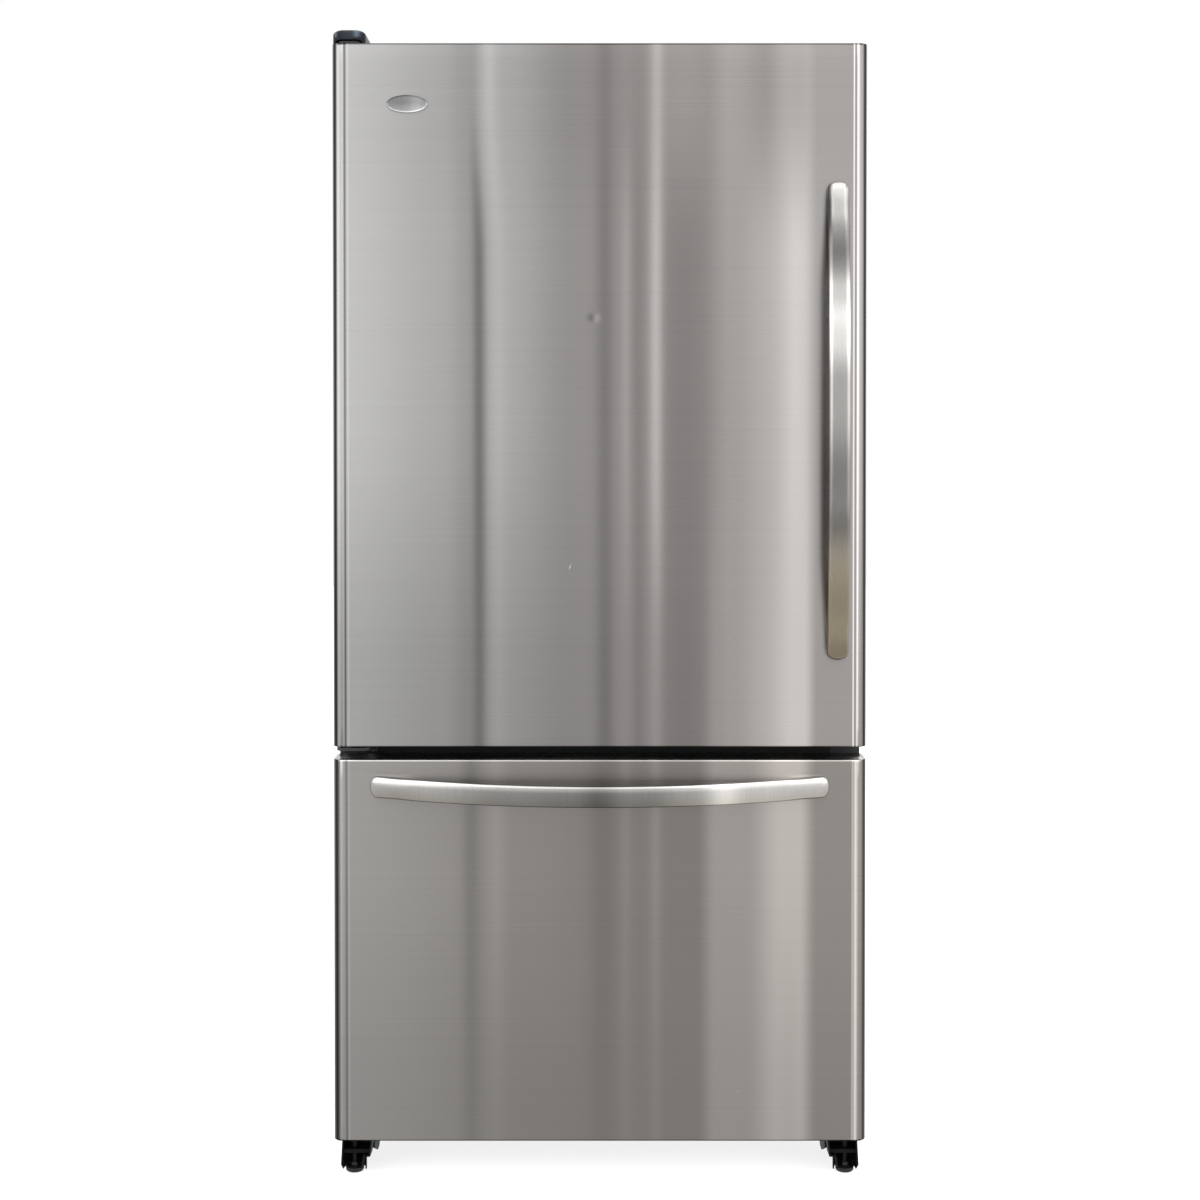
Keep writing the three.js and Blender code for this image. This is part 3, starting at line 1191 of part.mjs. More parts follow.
/** Panel in front of the evaporator, with a round fan grille and return slots along its foot. */
function evaporatorCover() {
  const y = [coverRear, coverRear + COVER_SHEET];
  const plate = lengthwise(
    rounded(
      across(wallHalf - 2), [stepTop + CLEAR, freezerCeiling - 2], [0, 0, LINER_CORNER, LINER_CORNER]), y);
  const rings = [20, 37].map((r) => {
    const shape = new THREE.Shape();
    shape.absarc(0, 0, r + 5, 0, Math.PI * 2);
    const hole = new THREE.Path();
    hole.absarc(0, 0, r - 5, 0, Math.PI * 2);
    shape.holes.push(hole);
    return lengthwise(shape, [y[0] - 1, y[1] + 1], 6)
      .subtract(block(across(60), y, [-2, 2]))
      .subtract(block(across(2), y, [-60, 60]));
  });
  const pitch = 86;
  const count = Math.floor((wallHalf * 2 - 20) / pitch);
  const vents = Array.from({ length: count }, (_, i) => {
    const x = (i - (count - 1) / 2) * pitch;
    return block([x - 34, x + 34], [y[0] - 1, y[1] + 1], [stepTop + 12, stepTop + 20]);
  });
  const grille = join(rings).translate([0, 0, evapFanZ]);
  return plate.subtract(grille).subtract(join(vents));
}

place('evaporator', evaporator(), aluminium);
place('evaporator_cover', evaporatorCover(), linerWhite);
place('evaporator_fan_motor', evaporatorFanMotor(), zincSteel);
place('evaporator_fan_blade', stand(fanWheel({
  radius: EVAP_FAN_RADIUS, hub: 12, depth: EVAP_FAN_DEPTH, count: 4, bore: SHAFT + CLEAR,
}), 'y', [0, evapFanY + 2, evapFanZ]), fanPlastic);

const FAN_RADIUS = 78;
const FAN_RISE = 120; // pan to the condenser fan's axis
const SHROUD_IN = 295; // case side to the shroud plate
const FAN_DEPTH = 24;
const machineFloor = PAN_TOP + CLEAR;
const shroudX = SHROUD_IN - caseHalf;
const fanY = (machineFront + panelRear) / 2;
const fanZ = machineFloor + FAN_RISE;

/** Shroud plate with a collar round the fan, and a motor held behind it on three arms. */
function condenserFanShroud() {
  const y = [machineFront + 10, panelRear - 12];
  const ring = (radius) => {
    const shape = new THREE.Shape();
    shape.absarc(fanY, fanZ, radius, 0, Math.PI * 2);
    return shape;
  };
  const collarX = [shroudX, shroudX + 28];
  const motorX = shroudX + 46;
  const plate = block([shroudX, shroudX + 2.5], y, [machineFloor, fanZ + FAN_RADIUS + 22]);
  const collar = sideways(ring(FAN_RADIUS + 8), collarX, 9);
  const bore = sideways(ring(FAN_RADIUS + 5), [shroudX - 1, shroudX + 60], 9);
  const arms = [90, 210, 330].map((degrees) => {
    const angle = THREE.MathUtils.degToRad(degrees);
    const arm = new THREE.BoxGeometry(4, FAN_RADIUS + 12, 9);
    arm.translate(motorX + 2, (FAN_RADIUS + 12) / 2, 0);
    arm.rotateX(angle);
    const post = new THREE.BoxGeometry(motorX - shroudX + 4, 5, 9);
    post.translate((motorX + shroudX + 4) / 2, FAN_RADIUS + 9.5, 0);
    post.rotateX(angle);
    return [solid(arm.translate(0, fanY, fanZ)), solid(post.translate(0, fanY, fanZ))];
  });
  const can = [[0, 0], [24, 0], [26, 3], [26, 30], [20, 36], [0, 36]];
  const motor = turned(can, 'x', [motorX, fanY, fanZ], 20);
  const shaft = bar(SHAFT + 0.5, motorX - shroudX - 2, 'x', [shroudX + 3, fanY, fanZ], 10);
  return join(plate, collar).subtract(bore).add(join(arms.flat())).add(motor).add(shaft);
}

/** Condenser: three banks of one tube, tied by two plates that stand on the pan. */
function condenserCoil() {
  const y = [machineFront + 34, panelRear - 34];
  const xs = [shroudX - 60, shroudX - 130];
  const levels = Array.from({ length: 4 }, (_, i) => machineFloor + 62 + i * 42);
  const plateTop = levels.at(-1) + 29;
  const foot = levels[0] - 24;
  const corners = [];
  xs.forEach((x, bank) => {
    const order = bank % 2 ? [...levels].reverse() : levels;
    order.forEach((z, i) => {
      const turn = (bank * levels.length + i) % 2;
      corners.push([x, y[turn], z], [x, y[1 - turn], z]);
    });
  });
  const tube = pipe(corners, 3.2, 16, 5);
  const plates = [y[0] + 34, y[1] - 36].map((yPlate) => {
    const shape = outline([
      [xs[1] - 22, machineFloor], [xs[1] - 8, machineFloor], [xs[1] - 8, foot], [xs[0] + 8, foot],
      [xs[0] + 8, machineFloor], [xs[0] + 22, machineFloor], [xs[0] + 22, plateTop], [xs[1] - 22, plateTop],
    ]);
    return lengthwise(shape, [yPlate, yPlate + 2]);
  });
  return join(tube, plates);
}

/** Drain pan under the condenser, between its two plates. */
function drainPan() {
  const y = [machineFront + 34 + 34 + 2 + CLEAR, panelRear - 34 - 36 - CLEAR];
  return tub([shroudX - 165, shroudX - 24], y, [machineFloor, machineFloor + 30], 2, [8, 8, 8, 8]);
}

const COMPRESSOR_IN = 223; // case side to the compressor's axis

/** Hermetic compressor: two drawn shells with a welded seam, on a plate with four rubber grommets. */
function compressor() {
  const base = [caseHalf - COMPRESSOR_IN, fanY, machineFloor];
  const shell = turned([
    [0, 13.5], [56, 13.5], [78, 30], [85, 84], [89, 86], [89, 94], [85, 96], [81, 134], [60, 164], [0, 178],
  ], 'z', base, 16);
  const plate = upright(rounded(
    [base[0] - 105, base[0] + 105], [base[1] - 78, base[1] + 78], 14), [base[2] + 12, base[2] + 15], 1);
  const grommets = [[-1, -1], [1, -1], [1, 1], [-1, 1]].map(([sx, sy]) => turned(
    [[0, 0], [12, 0], [9, 7], [12, 12.5], [8, 16], [0, 18]], 'z',
    [base[0] + sx * 90, base[1] + sy * 62, base[2]], 6));
  const box = block(
    [base[0] + 78, base[0] + 112], [base[1] - 26, base[1] + 26], [base[2] + 50, base[2] + 112]);
  const stubs = [[-20, 160], [24, 156]].map(
    ([dx, z]) => bar(4, 26, 'z', [base[0] + dx, base[1] + 20, base[2] + z], 6));
  return join(shell, plate, grommets, box, stubs);
}

/** Cover over the machine space, with rows of louvred slots. */
function machineCover() {
  const half = caseHalf - REAR_FLANGE - 3;
  const y = [panelRear - SHEET, panelRear];
  const plate = block(across(half), y, [PAN_TOP + CLEAR, MACHINE_TOP - SHEET - CLEAR]);
  const pitch = 122;
  const count = Math.floor((half * 2 - 40) / pitch);
  const rows = [52, 102, 152].map((rise) => machineFloor + rise);
  const slots = rows.flatMap((z) => Array.from({ length: count }, (_, i) => {
    const x = (i - (count - 1) / 2) * pitch;
    return block([x - 48, x + 48], [y[0] - 1, y[1] + 1], [z, z + 9]);
  }));
  return plate.subtract(join(slots));
}

place('condenser_fan_shroud', condenserFanShroud(), zincSteel);
place('condenser_fan_blade', stand(fanWheel({
  radius: FAN_RADIUS, hub: 18, depth: FAN_DEPTH, count: 5, bore: SHAFT + 0.5 + CLEAR,
}), 'x', [shroudX + 8, fanY, fanZ]), fanPlastic);
place('condenser_coil', condenserCoil(), blackSteel);
place('drain_pan', drainPan(), linerWhite);
place('compressor', compressor(), blackSteel);
place('machine_cover', machineCover(), zincSteel);

// The origin is the middle of the footprint: handle tips in front, rear flanges behind.
fridge.position.y = -(handleTip + CASE_DEPTH) / 2;

export default fridge;
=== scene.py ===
# Bottom freezer refrigerator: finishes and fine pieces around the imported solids.
# Metres. X runs across the fronts, the fronts face -Y, Z is up and the floor is at 0.
import math

import bmesh
import bpy
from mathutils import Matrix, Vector


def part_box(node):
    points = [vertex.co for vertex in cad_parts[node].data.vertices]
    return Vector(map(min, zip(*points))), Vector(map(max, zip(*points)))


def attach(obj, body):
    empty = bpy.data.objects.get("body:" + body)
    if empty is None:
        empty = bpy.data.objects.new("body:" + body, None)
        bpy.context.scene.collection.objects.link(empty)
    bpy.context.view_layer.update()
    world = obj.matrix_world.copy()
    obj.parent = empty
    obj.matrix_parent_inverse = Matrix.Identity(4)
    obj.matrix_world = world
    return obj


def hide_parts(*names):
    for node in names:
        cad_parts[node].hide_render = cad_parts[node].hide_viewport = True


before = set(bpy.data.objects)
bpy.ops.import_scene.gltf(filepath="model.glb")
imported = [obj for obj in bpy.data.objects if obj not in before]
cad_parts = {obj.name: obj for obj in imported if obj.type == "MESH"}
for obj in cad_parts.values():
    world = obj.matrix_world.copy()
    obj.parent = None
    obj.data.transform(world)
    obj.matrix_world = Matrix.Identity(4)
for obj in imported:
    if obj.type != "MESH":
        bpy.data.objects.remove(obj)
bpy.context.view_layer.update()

# ---- Camera ----
# Stands three metres in front of the fronts at chest height, tipped down by less than a degree.
# The lens is shifted a little so that the whole refrigerator fills the square picture.
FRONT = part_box("door_skin")[0].y
camera_data = bpy.data.cameras.new("camera")
camera = bpy.data.objects.new("camera", camera_data)
bpy.context.scene.collection.objects.link(camera)
camera.location = (0.0004, FRONT - 3.05, 1.122)
camera.rotation_euler = (math.radians(90 - 0.92), 0, 0)
camera_data.sensor_width = 36
camera_data.lens = 59.2
camera_data.shift_y = -0.091
bpy.context.scene.camera = camera


# ---- Room: floor, surroundings and lamps ----
# A pale floor that runs out of sight, white surroundings that polished metal shows as well,
# and soft lamps to the sides and above.
class Wire:
    """A socket of a finish. Arithmetic on it adds Math nodes, and add() makes any other node."""

    def __init__(self, tree, socket=None):
        self.tree = tree
        self.socket = socket

    def add(self, kind, settings=None, sockets=None, out=0):
        node = self.tree.nodes.new(kind)
        for name, value in (settings or {}).items():
            if name == "stops":
                marks = node.color_ramp.elements
                (marks[0].position, marks[0].color), *rest = value
                marks[-1].position, marks[-1].color = rest.pop()
                for place, shade in rest:
                    marks.new(place).color = shade
            else:
                setattr(node, name, value)
        for name, value in (sockets or {}).items():
            if isinstance(value, Wire):
                self.tree.links.new(value.socket, node.inputs[name])
            else:
                node.inputs[name].default_value = value
        return Wire(self.tree, node.outputs[out] if node.outputs else None)

    def math(self, operation, *values):
        return self.add("ShaderNodeMath", {"operation": operation}, dict(enumerate(values)))

    def __add__(self, other):
        return self.math("ADD", self, other)

    def __sub__(self, other):
        return self.math("SUBTRACT", self, other)

    def __rsub__(self, other):
        return self.math("SUBTRACT", other, self)

    def __mul__(self, other):
        return self.math("MULTIPLY", self, other)

    def __pow__(self, other):
        return self.math("POWER", self, other)

    def __abs__(self):
        return self.math("ABSOLUTE", self)

    __radd__ = __add__
    __rmul__ = __mul__

    def hump(self, place, width):
        """1 at a place, falling smoothly to 0 over a width either side of it."""
        near = (self - place) * (1 / width)
        return self.math("EXPONENT", near * near * -1)

    def step(self, start, end):
        """0 before start, 1 after end, smooth between them."""
        sockets = {"Value": self, "From Min": start, "From Max": end}
        return self.add("ShaderNodeMapRange", {"interpolation_type": "SMOOTHSTEP"}, sockets)

    def axes(self):
        return [self.add("ShaderNodeSeparateXYZ", {}, {"Vector": self}, axis) for axis in "XYZ"]

    def stretched(self, x, y, z):
        """The same coordinates, scaled on each axis."""
        settings = {"operation": "MULTIPLY"}
        return self.add("ShaderNodeVectorMath", settings, {0: self, 1: (x, y, z)})

    def grain(self, scale, detail=3, roughness=0.6):
        """Noise over these coordinates, about 0 to 1."""
        sockets = {"Vector": self, "Scale": scale, "Detail": detail, "Roughness": roughness}
        return self.add("ShaderNodeTexNoise", {"noise_dimensions": "3D"}, sockets)

    def blend(self, low, high):
        """A colour between two colours, by this value."""
        mix = self.tree.nodes.new("ShaderNodeMix")
        mix.data_type = "RGBA"
        colours = {0: self, 6: low, 7: high}
        for index, value in colours.items():
            if isinstance(value, Wire):
                self.tree.links.new(value.socket, mix.inputs[index])
            else:
                mix.inputs[index].default_value = value
        return Wire(self.tree, mix.outputs[2])

    def tinted(self, red, green, blue):
        """A colour whose parts are this value times a share each."""
        parts = {"Red": self * red, "Green": self * green, "Blue": self * blue}
        return self.add("ShaderNodeCombineColor", {}, parts)

    def relief(self, strength, distance):
        """A normal with this height on it."""
        sockets = {"Height": self, "Strength": strength, "Distance": distance}
        return self.add("ShaderNodeBump", {}, sockets)


def finish(name, recipe):
    """A material whose recipe turns the piece's own coordinates into shader sockets."""
    material = bpy.data.materials.new(name)
    material.use_nodes = True
    material.node_tree.nodes.clear()
    start = Wire(material.node_tree)
    here = start.add("ShaderNodeTexCoord", out="Object")
    shader = start.add("ShaderNodeBsdfPrincipled", {}, recipe(here))
    start.add("ShaderNodeOutputMaterial", {}, {"Surface": shader})
    return material


def ray(wires, *paths):
    """1 for rays of the kinds named."""
    kinds = [wires.add("ShaderNodeLightPath", out=f"Is {path} Ray") for path in paths]
    return wires.math("MINIMUM", sum(kinds[1:], kinds[0]), 1.0)


world = bpy.data.worlds.new("room")
world.use_nodes = True
world.node_tree.nodes.clear()
room = Wire(world.node_tree)
ROOM_LIGHT = 0.62  # what lights the piece; where the room itself is seen, it is plain white
seen_room = ray(room, "Camera", "Glossy", "Transmission")
strength = seen_room * (1 - ROOM_LIGHT) + ROOM_LIGHT
background = room.add("ShaderNodeBackground", {}, {"Color": (1, 1, 1, 1), "Strength": strength})
room.add("ShaderNodeOutputWorld", {}, {"Surface": background})
bpy.context.scene.world = world
bpy.context.scene.view_settings.view_transform = "Standard"

FLOOR_REACH = 14
floor_corners = [(FLOOR_REACH * x, FLOOR_REACH * y, 0) for x, y in ((-1, -1), (1, -1), (1, 1), (-1, 1))]
floor_mesh = bpy.data.meshes.new("floor")
floor_mesh.from_pydata(floor_corners, [], [(0, 1, 2, 3)])
floor = bpy.data.objects.new("floor", floor_mesh)
bpy.context.scene.collection.objects.link(floor)
paper = bpy.data.materials.new("white floor")
paper.use_nodes = True
paper.node_tree.nodes.clear()
ground = Wire(paper.node_tree)
matt = ground.add("ShaderNodeBsdfDiffuse", {}, {"Color": (0.86, 0.86, 0.86, 1)})
glow = ground.add("ShaderNodeEmission", {}, {"Color": (1, 1, 1, 1), "Strength": 0.80})
lit = ground.add("ShaderNodeAddShader", {}, {0: matt, 1: glow})
mirrored = ground.add("ShaderNodeEmission", {}, {"Color": (1, 1, 1, 1), "Strength": 0.95})
seen = ground.add("ShaderNodeMixShader", {}, {0: ray(ground, "Camera"), 1: matt, 2: lit})
paper_face = ground.add(
    "ShaderNodeMixShader", {}, {0: ray(ground, "Glossy", "Transmission"), 1: seen, 2: mirrored})
ground.add("ShaderNodeOutputMaterial", {}, {"Surface": paper_face})
floor_mesh.materials.append(paper)

LAMPS = {  # place, size and power
    "lamp_left": ((-3.2, -2.6, 2.6), 4.4, 62),
    "lamp_right": ((3.4, -2.2, 2.2), 3.7, 44),
    "lamp_above": ((0, -1.2, 4.2), 4.3, 60),
    "lamp_behind": ((0.6, 3.6, 2.8), 3.9, 50),
}
for name, (place, size, power) in LAMPS.items():
    lamp_data = bpy.data.lights.new(name, "AREA")
    lamp_data.size = size
    lamp_data.energy = power
    lamp = bpy.data.objects.new(name, lamp_data)
    bpy.context.scene.collection.objects.link(lamp)
    lamp.location = place
    lamp.rotation_euler = (Vector((0, 0, 0.9)) - lamp.location).to_track_quat("-Z", "Y").to_euler()


# ---- Door and drawer fronts ----
# Brushed stainless sheet, its upright edges rolled over a 20 mm radius and its top and bottom
# edges folded tight. The brush grain runs level, under painted reflections of the room in soft upright
# streaks.
# The door has one shallow dent above its middle.
ROLL = 0.020  # radius of the upright edges
FOLD = 0.003  # radius of the top and bottom edges
SHEET = 0.0012
HEM_BEND = 0.0008
HEM = 0.0047  # how far the hem reaches in behind
GRID = 0.03


def piece(name, points, faces, body, material, stands_for=(), smooth=40):
    """A mesh that rides on a body, with its material and smooth faces up to an edge angle."""
    mesh = bpy.data.meshes.new(name)
    mesh.from_pydata([tuple(p) for p in points], [], faces)
    tidy = bmesh.new()
    tidy.from_mesh(mesh)
    bmesh.ops.recalc_face_normals(tidy, faces=tidy.faces)
    tidy.to_mesh(mesh)
    tidy.free()
    mesh.materials.append(material)
    mesh.shade_smooth()
    mesh.set_sharp_from_angle(angle=math.radians(smooth))
    thing = bpy.data.objects.new(name, mesh)
    bpy.context.scene.collection.objects.link(thing)
    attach(thing, body)
    if stands_for:
        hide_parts(*stands_for)
    return thing


def bridge(rings, closed=True, caps=False):
    """Points and faces that join rings of equal counts in their order."""
    count = len(rings[0])
    points = [p for ring in rings for p in ring]
    faces = []
    for r in range(len(rings) - 1):
        for k in range(count if closed else count - 1):
            a, b = r * count + k, r * count + (k + 1) % count
            faces.append((a, b, b + count, a + count))
    if caps:
        faces.append(tuple(range(count))[::-1])
        faces.append(tuple(range(len(points) - count, len(points))))
    return points, faces


def spread(low, high, gap, near=(), fine=0.003):
    """Places from low to high, a gap apart, closer together round the places given."""
    count = round((high - low) / gap)
    places = [low + (high - low) * i / count for i in range(1, count)]
    for centre, reach in near:
        count = round(2 * reach / fine)
        places += [centre - reach + 2 * reach * i / count for i in range(count + 1)]
    kept = [low]
    for place in sorted(places):
        if place - kept[-1] > fine / 2 and high - place > fine / 2:
            kept.append(place)
    return kept + [high]


def front_sheet(name, node, body, dents, material):
    """The sheet of one front. A dent is its x, z, radius and depth."""
    low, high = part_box(node)
    half, bottom, top = high.x, low.z, high.z
    near_x = [(x, r * 2.2) for x, z, r, depth in dents]
    near_z = [(z, r * 2.2) for x, z, r, depth in dents]
    xs = spread(-half + ROLL, half - ROLL, GRID, near_x)
    zs = spread(bottom + FOLD, top - FOLD, GRID, near_z)
    # the flat face is a grid, and each ring round it follows the grid's rim
    points, faces = [], []
    for z in zs:
        for x in xs:
            push = sum(d * math.exp(-((x - dx) ** 2 + (z - dz) ** 2) / r ** 2) for dx, dz, r, d in dents)
            points.append((x, low.y + push, z))
    wide, tall = len(xs), len(zs)
    for j in range(tall - 1):
        for i in range(wide - 1):
            a = j * wide + i
            faces.append((a, a + 1, a + 1 + wide, a + wide))
    rim = [(i, 0) for i in range(wide)] + [(wide - 1, j) for j in range(1, tall)]
    rim += [(i, tall - 1) for i in range(wide - 2, -1, -1)] + [(0, j) for j in range(tall - 2, 0, -1)]
    previous = [j * wide + i for i, j in rim]
    rolled = [ROLL * (1 - math.cos(t * math.pi / 2)) for t in (0.06, 0.14, 0.26, 0.4, 0.55, 0.7, 0.85, 1.0)]
    folded = [FOLD * t for t in (0.1, 0.35, 0.65, 1.0)]
    rear = high.y - low.y
    levels = [(depth, 0) for depth in sorted(rolled + folded)]
    levels += [(rear - HEM_BEND, 0), (rear, HEM_BEND), (rear, HEM)]
    for depth, inset in levels:
        across = ROLL - math.sqrt(max(ROLL ** 2 - (ROLL - depth) ** 2, 0)) if depth < ROLL else 0
        up = FOLD - math.sqrt(max(FOLD ** 2 - (FOLD - depth) ** 2, 0)) if depth < FOLD else 0
        half_x = half - across - inset
        z0, z1 = bottom + up + inset, top - up - inset
        start = len(points)
        for i, j in rim:
            x = xs[i] / (half - ROLL) * half_x
            z = z0 + (zs[j] - zs[0]) / (zs[-1] - zs[0]) * (z1 - z0)
            points.append((x, low.y + depth, z))
        ring = list(range(start, len(points)))
        for k in range(len(rim)):
            n = (k + 1) % len(rim)
            faces.append((previous[k], previous[n], ring[n], ring[k]))
        previous = ring
    sheet = piece(name, points, faces, body, material, (node,), smooth=50)
    wall = sheet.modifiers.new("sheet", "SOLIDIFY")
    wall.thickness = SHEET
    wall.offset = -1
    return sheet


SCRATCH = 0.0006


def brushed(here, node, tint, heights, base, slopes, streaks, rims, fold_shading, scratches, painted_shading=None):
    """Level brushed grain under painted reflections in soft upright streaks, with painted light and shade on
    its rolled edges and folds.

    A slope is its start and end in x, a streak or rim its place and width. Each ends in its lift of the
    tone, and base, slopes and streaks add the change of that lift at each of the heights.
    """
    x, y, z = here.axes()
    low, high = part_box(node)
    fades = [z.step(start, end) for start, end in heights]

    def share(lift, *changes):
        return sum((fade * change for fade, change in zip(fades, changes)), lift)

    # the painted reflection streaks lean to the left near the door's top
    lean = x.hump(-0.165, 0.05) * z.step(1.42, 1.70) * 0.013
    along = x + lean + (here.stretched(0.6, 1, 0.3).grain(4.0, 2) - 0.5) * 0.006
    # painted reflections of the room: a base tone by height, slopes across the sheet and upright streaks
    tone = share(*base)
    for start, end, *rise in slopes:
        tone = tone + x.step(start, end) * share(*rise)
    for place, width, *lift in streaks:
        tone = tone + along.hump(place, width) * share(*lift)
    # painted light and shade given for this front alone
    if painted_shading:
        tone = tone + painted_shading(x, z)
    fine = here.stretched(3, 60, 1500).grain(1.0, 2, 0.5) - 0.5
    coarse = here.stretched(1.2, 20, 260).grain(1.0, 3, 0.6) - 0.5
    cloud = here.stretched(1, 1, 0.5).grain(3.0, 3) - 0.5
    tone = tone + fine * 0.035 + coarse * 0.016 + cloud * 0.03
    for place, height, turn, length, lift in scratches:
        c, s = math.cos(turn), math.sin(turn)
        over, down = x - place, z - height
        line = (over * s - down * c).hump(0, SCRATCH) * (over * c + down * s).hump(0, length)
        tone = tone + line * lift
    # painted light and shade of the rolled edges: a crease where the flat ends, then a painted highlight,
    # then painted shade as the rolled edge turns away
    on_roll = y.step(FRONT + 0.0302, FRONT + 0.024)
    for place, width, lift in rims:
        tone = tone + x.hump(place, width) * on_roll * lift
    # the right of each front is a little warmer than the left
    red, blue, start, end = tint
    warm = x.step(start, end)
    # painted highlight and shade along the folded top and bottom edges
    top, bottom = fold_shading
    on_front = y.step(FRONT + 0.0045, FRONT + 0.002)
    tone = tone + z.step(high.z - 0.0034, high.z - 0.0012) * on_front * top
    tone = tone + z.step(low.z + 0.0028, low.z + 0.0010) * on_front * bottom
    light = tone.math("MAXIMUM", tone, 0.05) ** 2.2
    colour = light.tinted(warm * red + 1, 0.99, warm * blue + 0.975)
    rough = 0.30 + coarse * 0.10 + fine * 0.08
    height = fine * 0.6 + coarse * 0.4
    return {
        "Base Color": colour, "Metallic": 1.0, "Roughness": rough,
        "Normal": height.relief(0.12, 0.0004), "Anisotropic": 0.75, "Anisotropic Rotation": 0.25}


DENT = (-0.0089, 1.340, 0.0075, 0.0009)  # x, z, radius and depth, which stays inside the sheet


def door_steel(here):
    heights = [(1.42, 1.70), (1.22, 0.72)]
    slopes = [
        (-0.400, -0.220, -0.094, 0, 0.027), (-0.150, -0.040, -0.099, 0, 0.049),
        (0.100, 0.160, 0.007, -0.017, 0), (0.165, 0.200, 0.061, 0.027, 0.017),
        (0.210, 0.260, 0.055, -0.095, 0.013), (0.250, 0.300, 0.084, 0.016, 0.018),
        (0.316, 0.338, -0.121, 0.070, -0.054)]
    streaks = [
        (-0.205, 0.022, -0.052, 0.011, 0), (-0.186, 0.010, -0.177, 0.148, 0.070),
        (-0.157, 0.013, 0.036, 0.032, -0.008), (0.008, 0.014, -0.082, 0.033, 0),
        (0.041, 0.008, 0.052, -0.047, -0.048), (0.060, 0.010, -0.041, 0.031, 0),
        (0.088, 0.011, 0.172, -0.058, -0.116), (0.135, 0.050, -0.061, 0.112, 0),
        (0.175, 0.012, 0.015, 0, 0.033), (0.303, 0.016, 0.038, -0.061, -0.041)]
    rims = [
        (-0.3888, 0.0013, 0.07), (-0.3936, 0.0016, -0.27), (-0.3995, 0.0022, -0.15), (-0.4030, 0.0016, -0.06),
        (-0.4098, 0.0032, -0.60), (0.3924, 0.0011, 0.40), (0.3952, 0.0009, -0.05), (0.3984, 0.0015, 0.34),
        (0.4048, 0.0030, -0.10), (0.4105, 0.0024, -0.52)]
    # x, z, turn, length and lift
    scratches = [
        (-0.046, 0.955, 1.3, 0.0032, 0.40), (0.165, 0.890, 1.2, 0.014, -0.03),
        (0.205, 0.850, 0.9, 0.020, 0.03)]

    def marks(x, z):
        """Painted shadow and reflection of the handle, a dark wedge in the sheet beside it, wider away from
        its ends, and painted light and shade on the dent.
        """
        away = z.step(0.82, 0.99) * z.step(1.54, 1.37)
        ends = z.step(0.815, 0.84) * z.step(1.545, 1.52)
        shade = (x + away * 0.0080).hump(0.3548, 0.0060) * ends * -0.28
        # painted shade on the dent's left, where it turns away from the light, and a painted highlight on its
        # right, where it turns towards it
        left, right = x.hump(DENT[0] - 0.0042, 0.0060), x.hump(DENT[0] + 0.0044, 0.0066)
        return shade + z.hump(DENT[1], 0.0066) * (left * -0.115 + right * 0.095)

    return brushed(
        here, "door_skin", (0.05, -0.015, -0.35, 0.15), heights, (0.754, -0.023, -0.106), slopes, streaks,
        rims, (-0.42, -0.20), scratches, marks)


def drawer_steel(here):
    heights = [(0.56, 0.06)]
    slopes = [
        (-0.420, -0.100, -0.076, 0.009), (-0.120, 0.060, -0.046, 0.027), (0.150, 0.180, 0.113, -0.026),
        (0.225, 0.285, 0.136, -0.031), (0.308, 0.338, -0.185, 0.029)]
    streaks = [
        (-0.200, 0.014, -0.064, 0.027), (-0.160, 0.014, 0.039, -0.027), (0.004, 0.020, -0.040, 0.017),
        (0.040, 0.010, 0.032, -0.016), (0.087, 0.010, 0.051, -0.030), (0.292, 0.018, -0.003, -0.022)]
    rims = [
        (-0.3888, 0.0013, 0.06), (-0.3925, 0.0018, -0.13), (-0.4011, 0.0013, 0.06), (-0.4085, 0.0042, -0.44),
        (0.3915, 0.0012, 0.18), (0.3965, 0.0030, 0.34), (0.4105, 0.0028, -0.34)]
    scratches = [(0.216, 0.140, 0.5, 0.004, 0.08)]
    return brushed(
        here, "drawer_skin", (0.065, -0.050, -1.2, 0.6), heights, (0.613, -0.052), slopes, streaks,
        rims, (0.20, -0.75), scratches)


door_finish = finish("door steel", door_steel)
drawer_finish = finish("drawer steel", drawer_steel)
front_sheet("door_sheet", "door_skin", "fresh_door", [DENT], door_finish)
front_sheet("drawer_sheet", "drawer_skin", "freezer_front", [], drawer_finish)


# ---- Handles ----
# Solid bars of satin stainless, bowed away from the fronts and seated flat on them at both ends.
# The door's stands upright at its right, and the drawer's lies level and sags in its middle.
DOOR_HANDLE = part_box("door_skin")[1].x - 0.0475
DRAWER_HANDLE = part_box("drawer_skin")[1].z - 0.0396
DOOR_SWAY = -0.0018  # how far the middle lies off the line of the ends
DRAWER_SAG = 0.0093
DOOR_TRIM = 0.003  # the bars end this much inside their solids
DRAWER_TRIM = 0.0005
HANDLE_WIDTH = 0.0331
HANDLE_HALF = 0.0165  # where the tones across a bar count as its edge
HANDLE_FLARE = 0.0003  # the ends are this much wider
HANDLE_THICK = 0.016
HANDLE_RISE = 0.042
HANDLE_SEAT = 0.0003
HANDLE_ENDS = 0.10  # share of the half length that lies on the front
HANDLE_ROUND = 0.0115  # length of the rounded tips


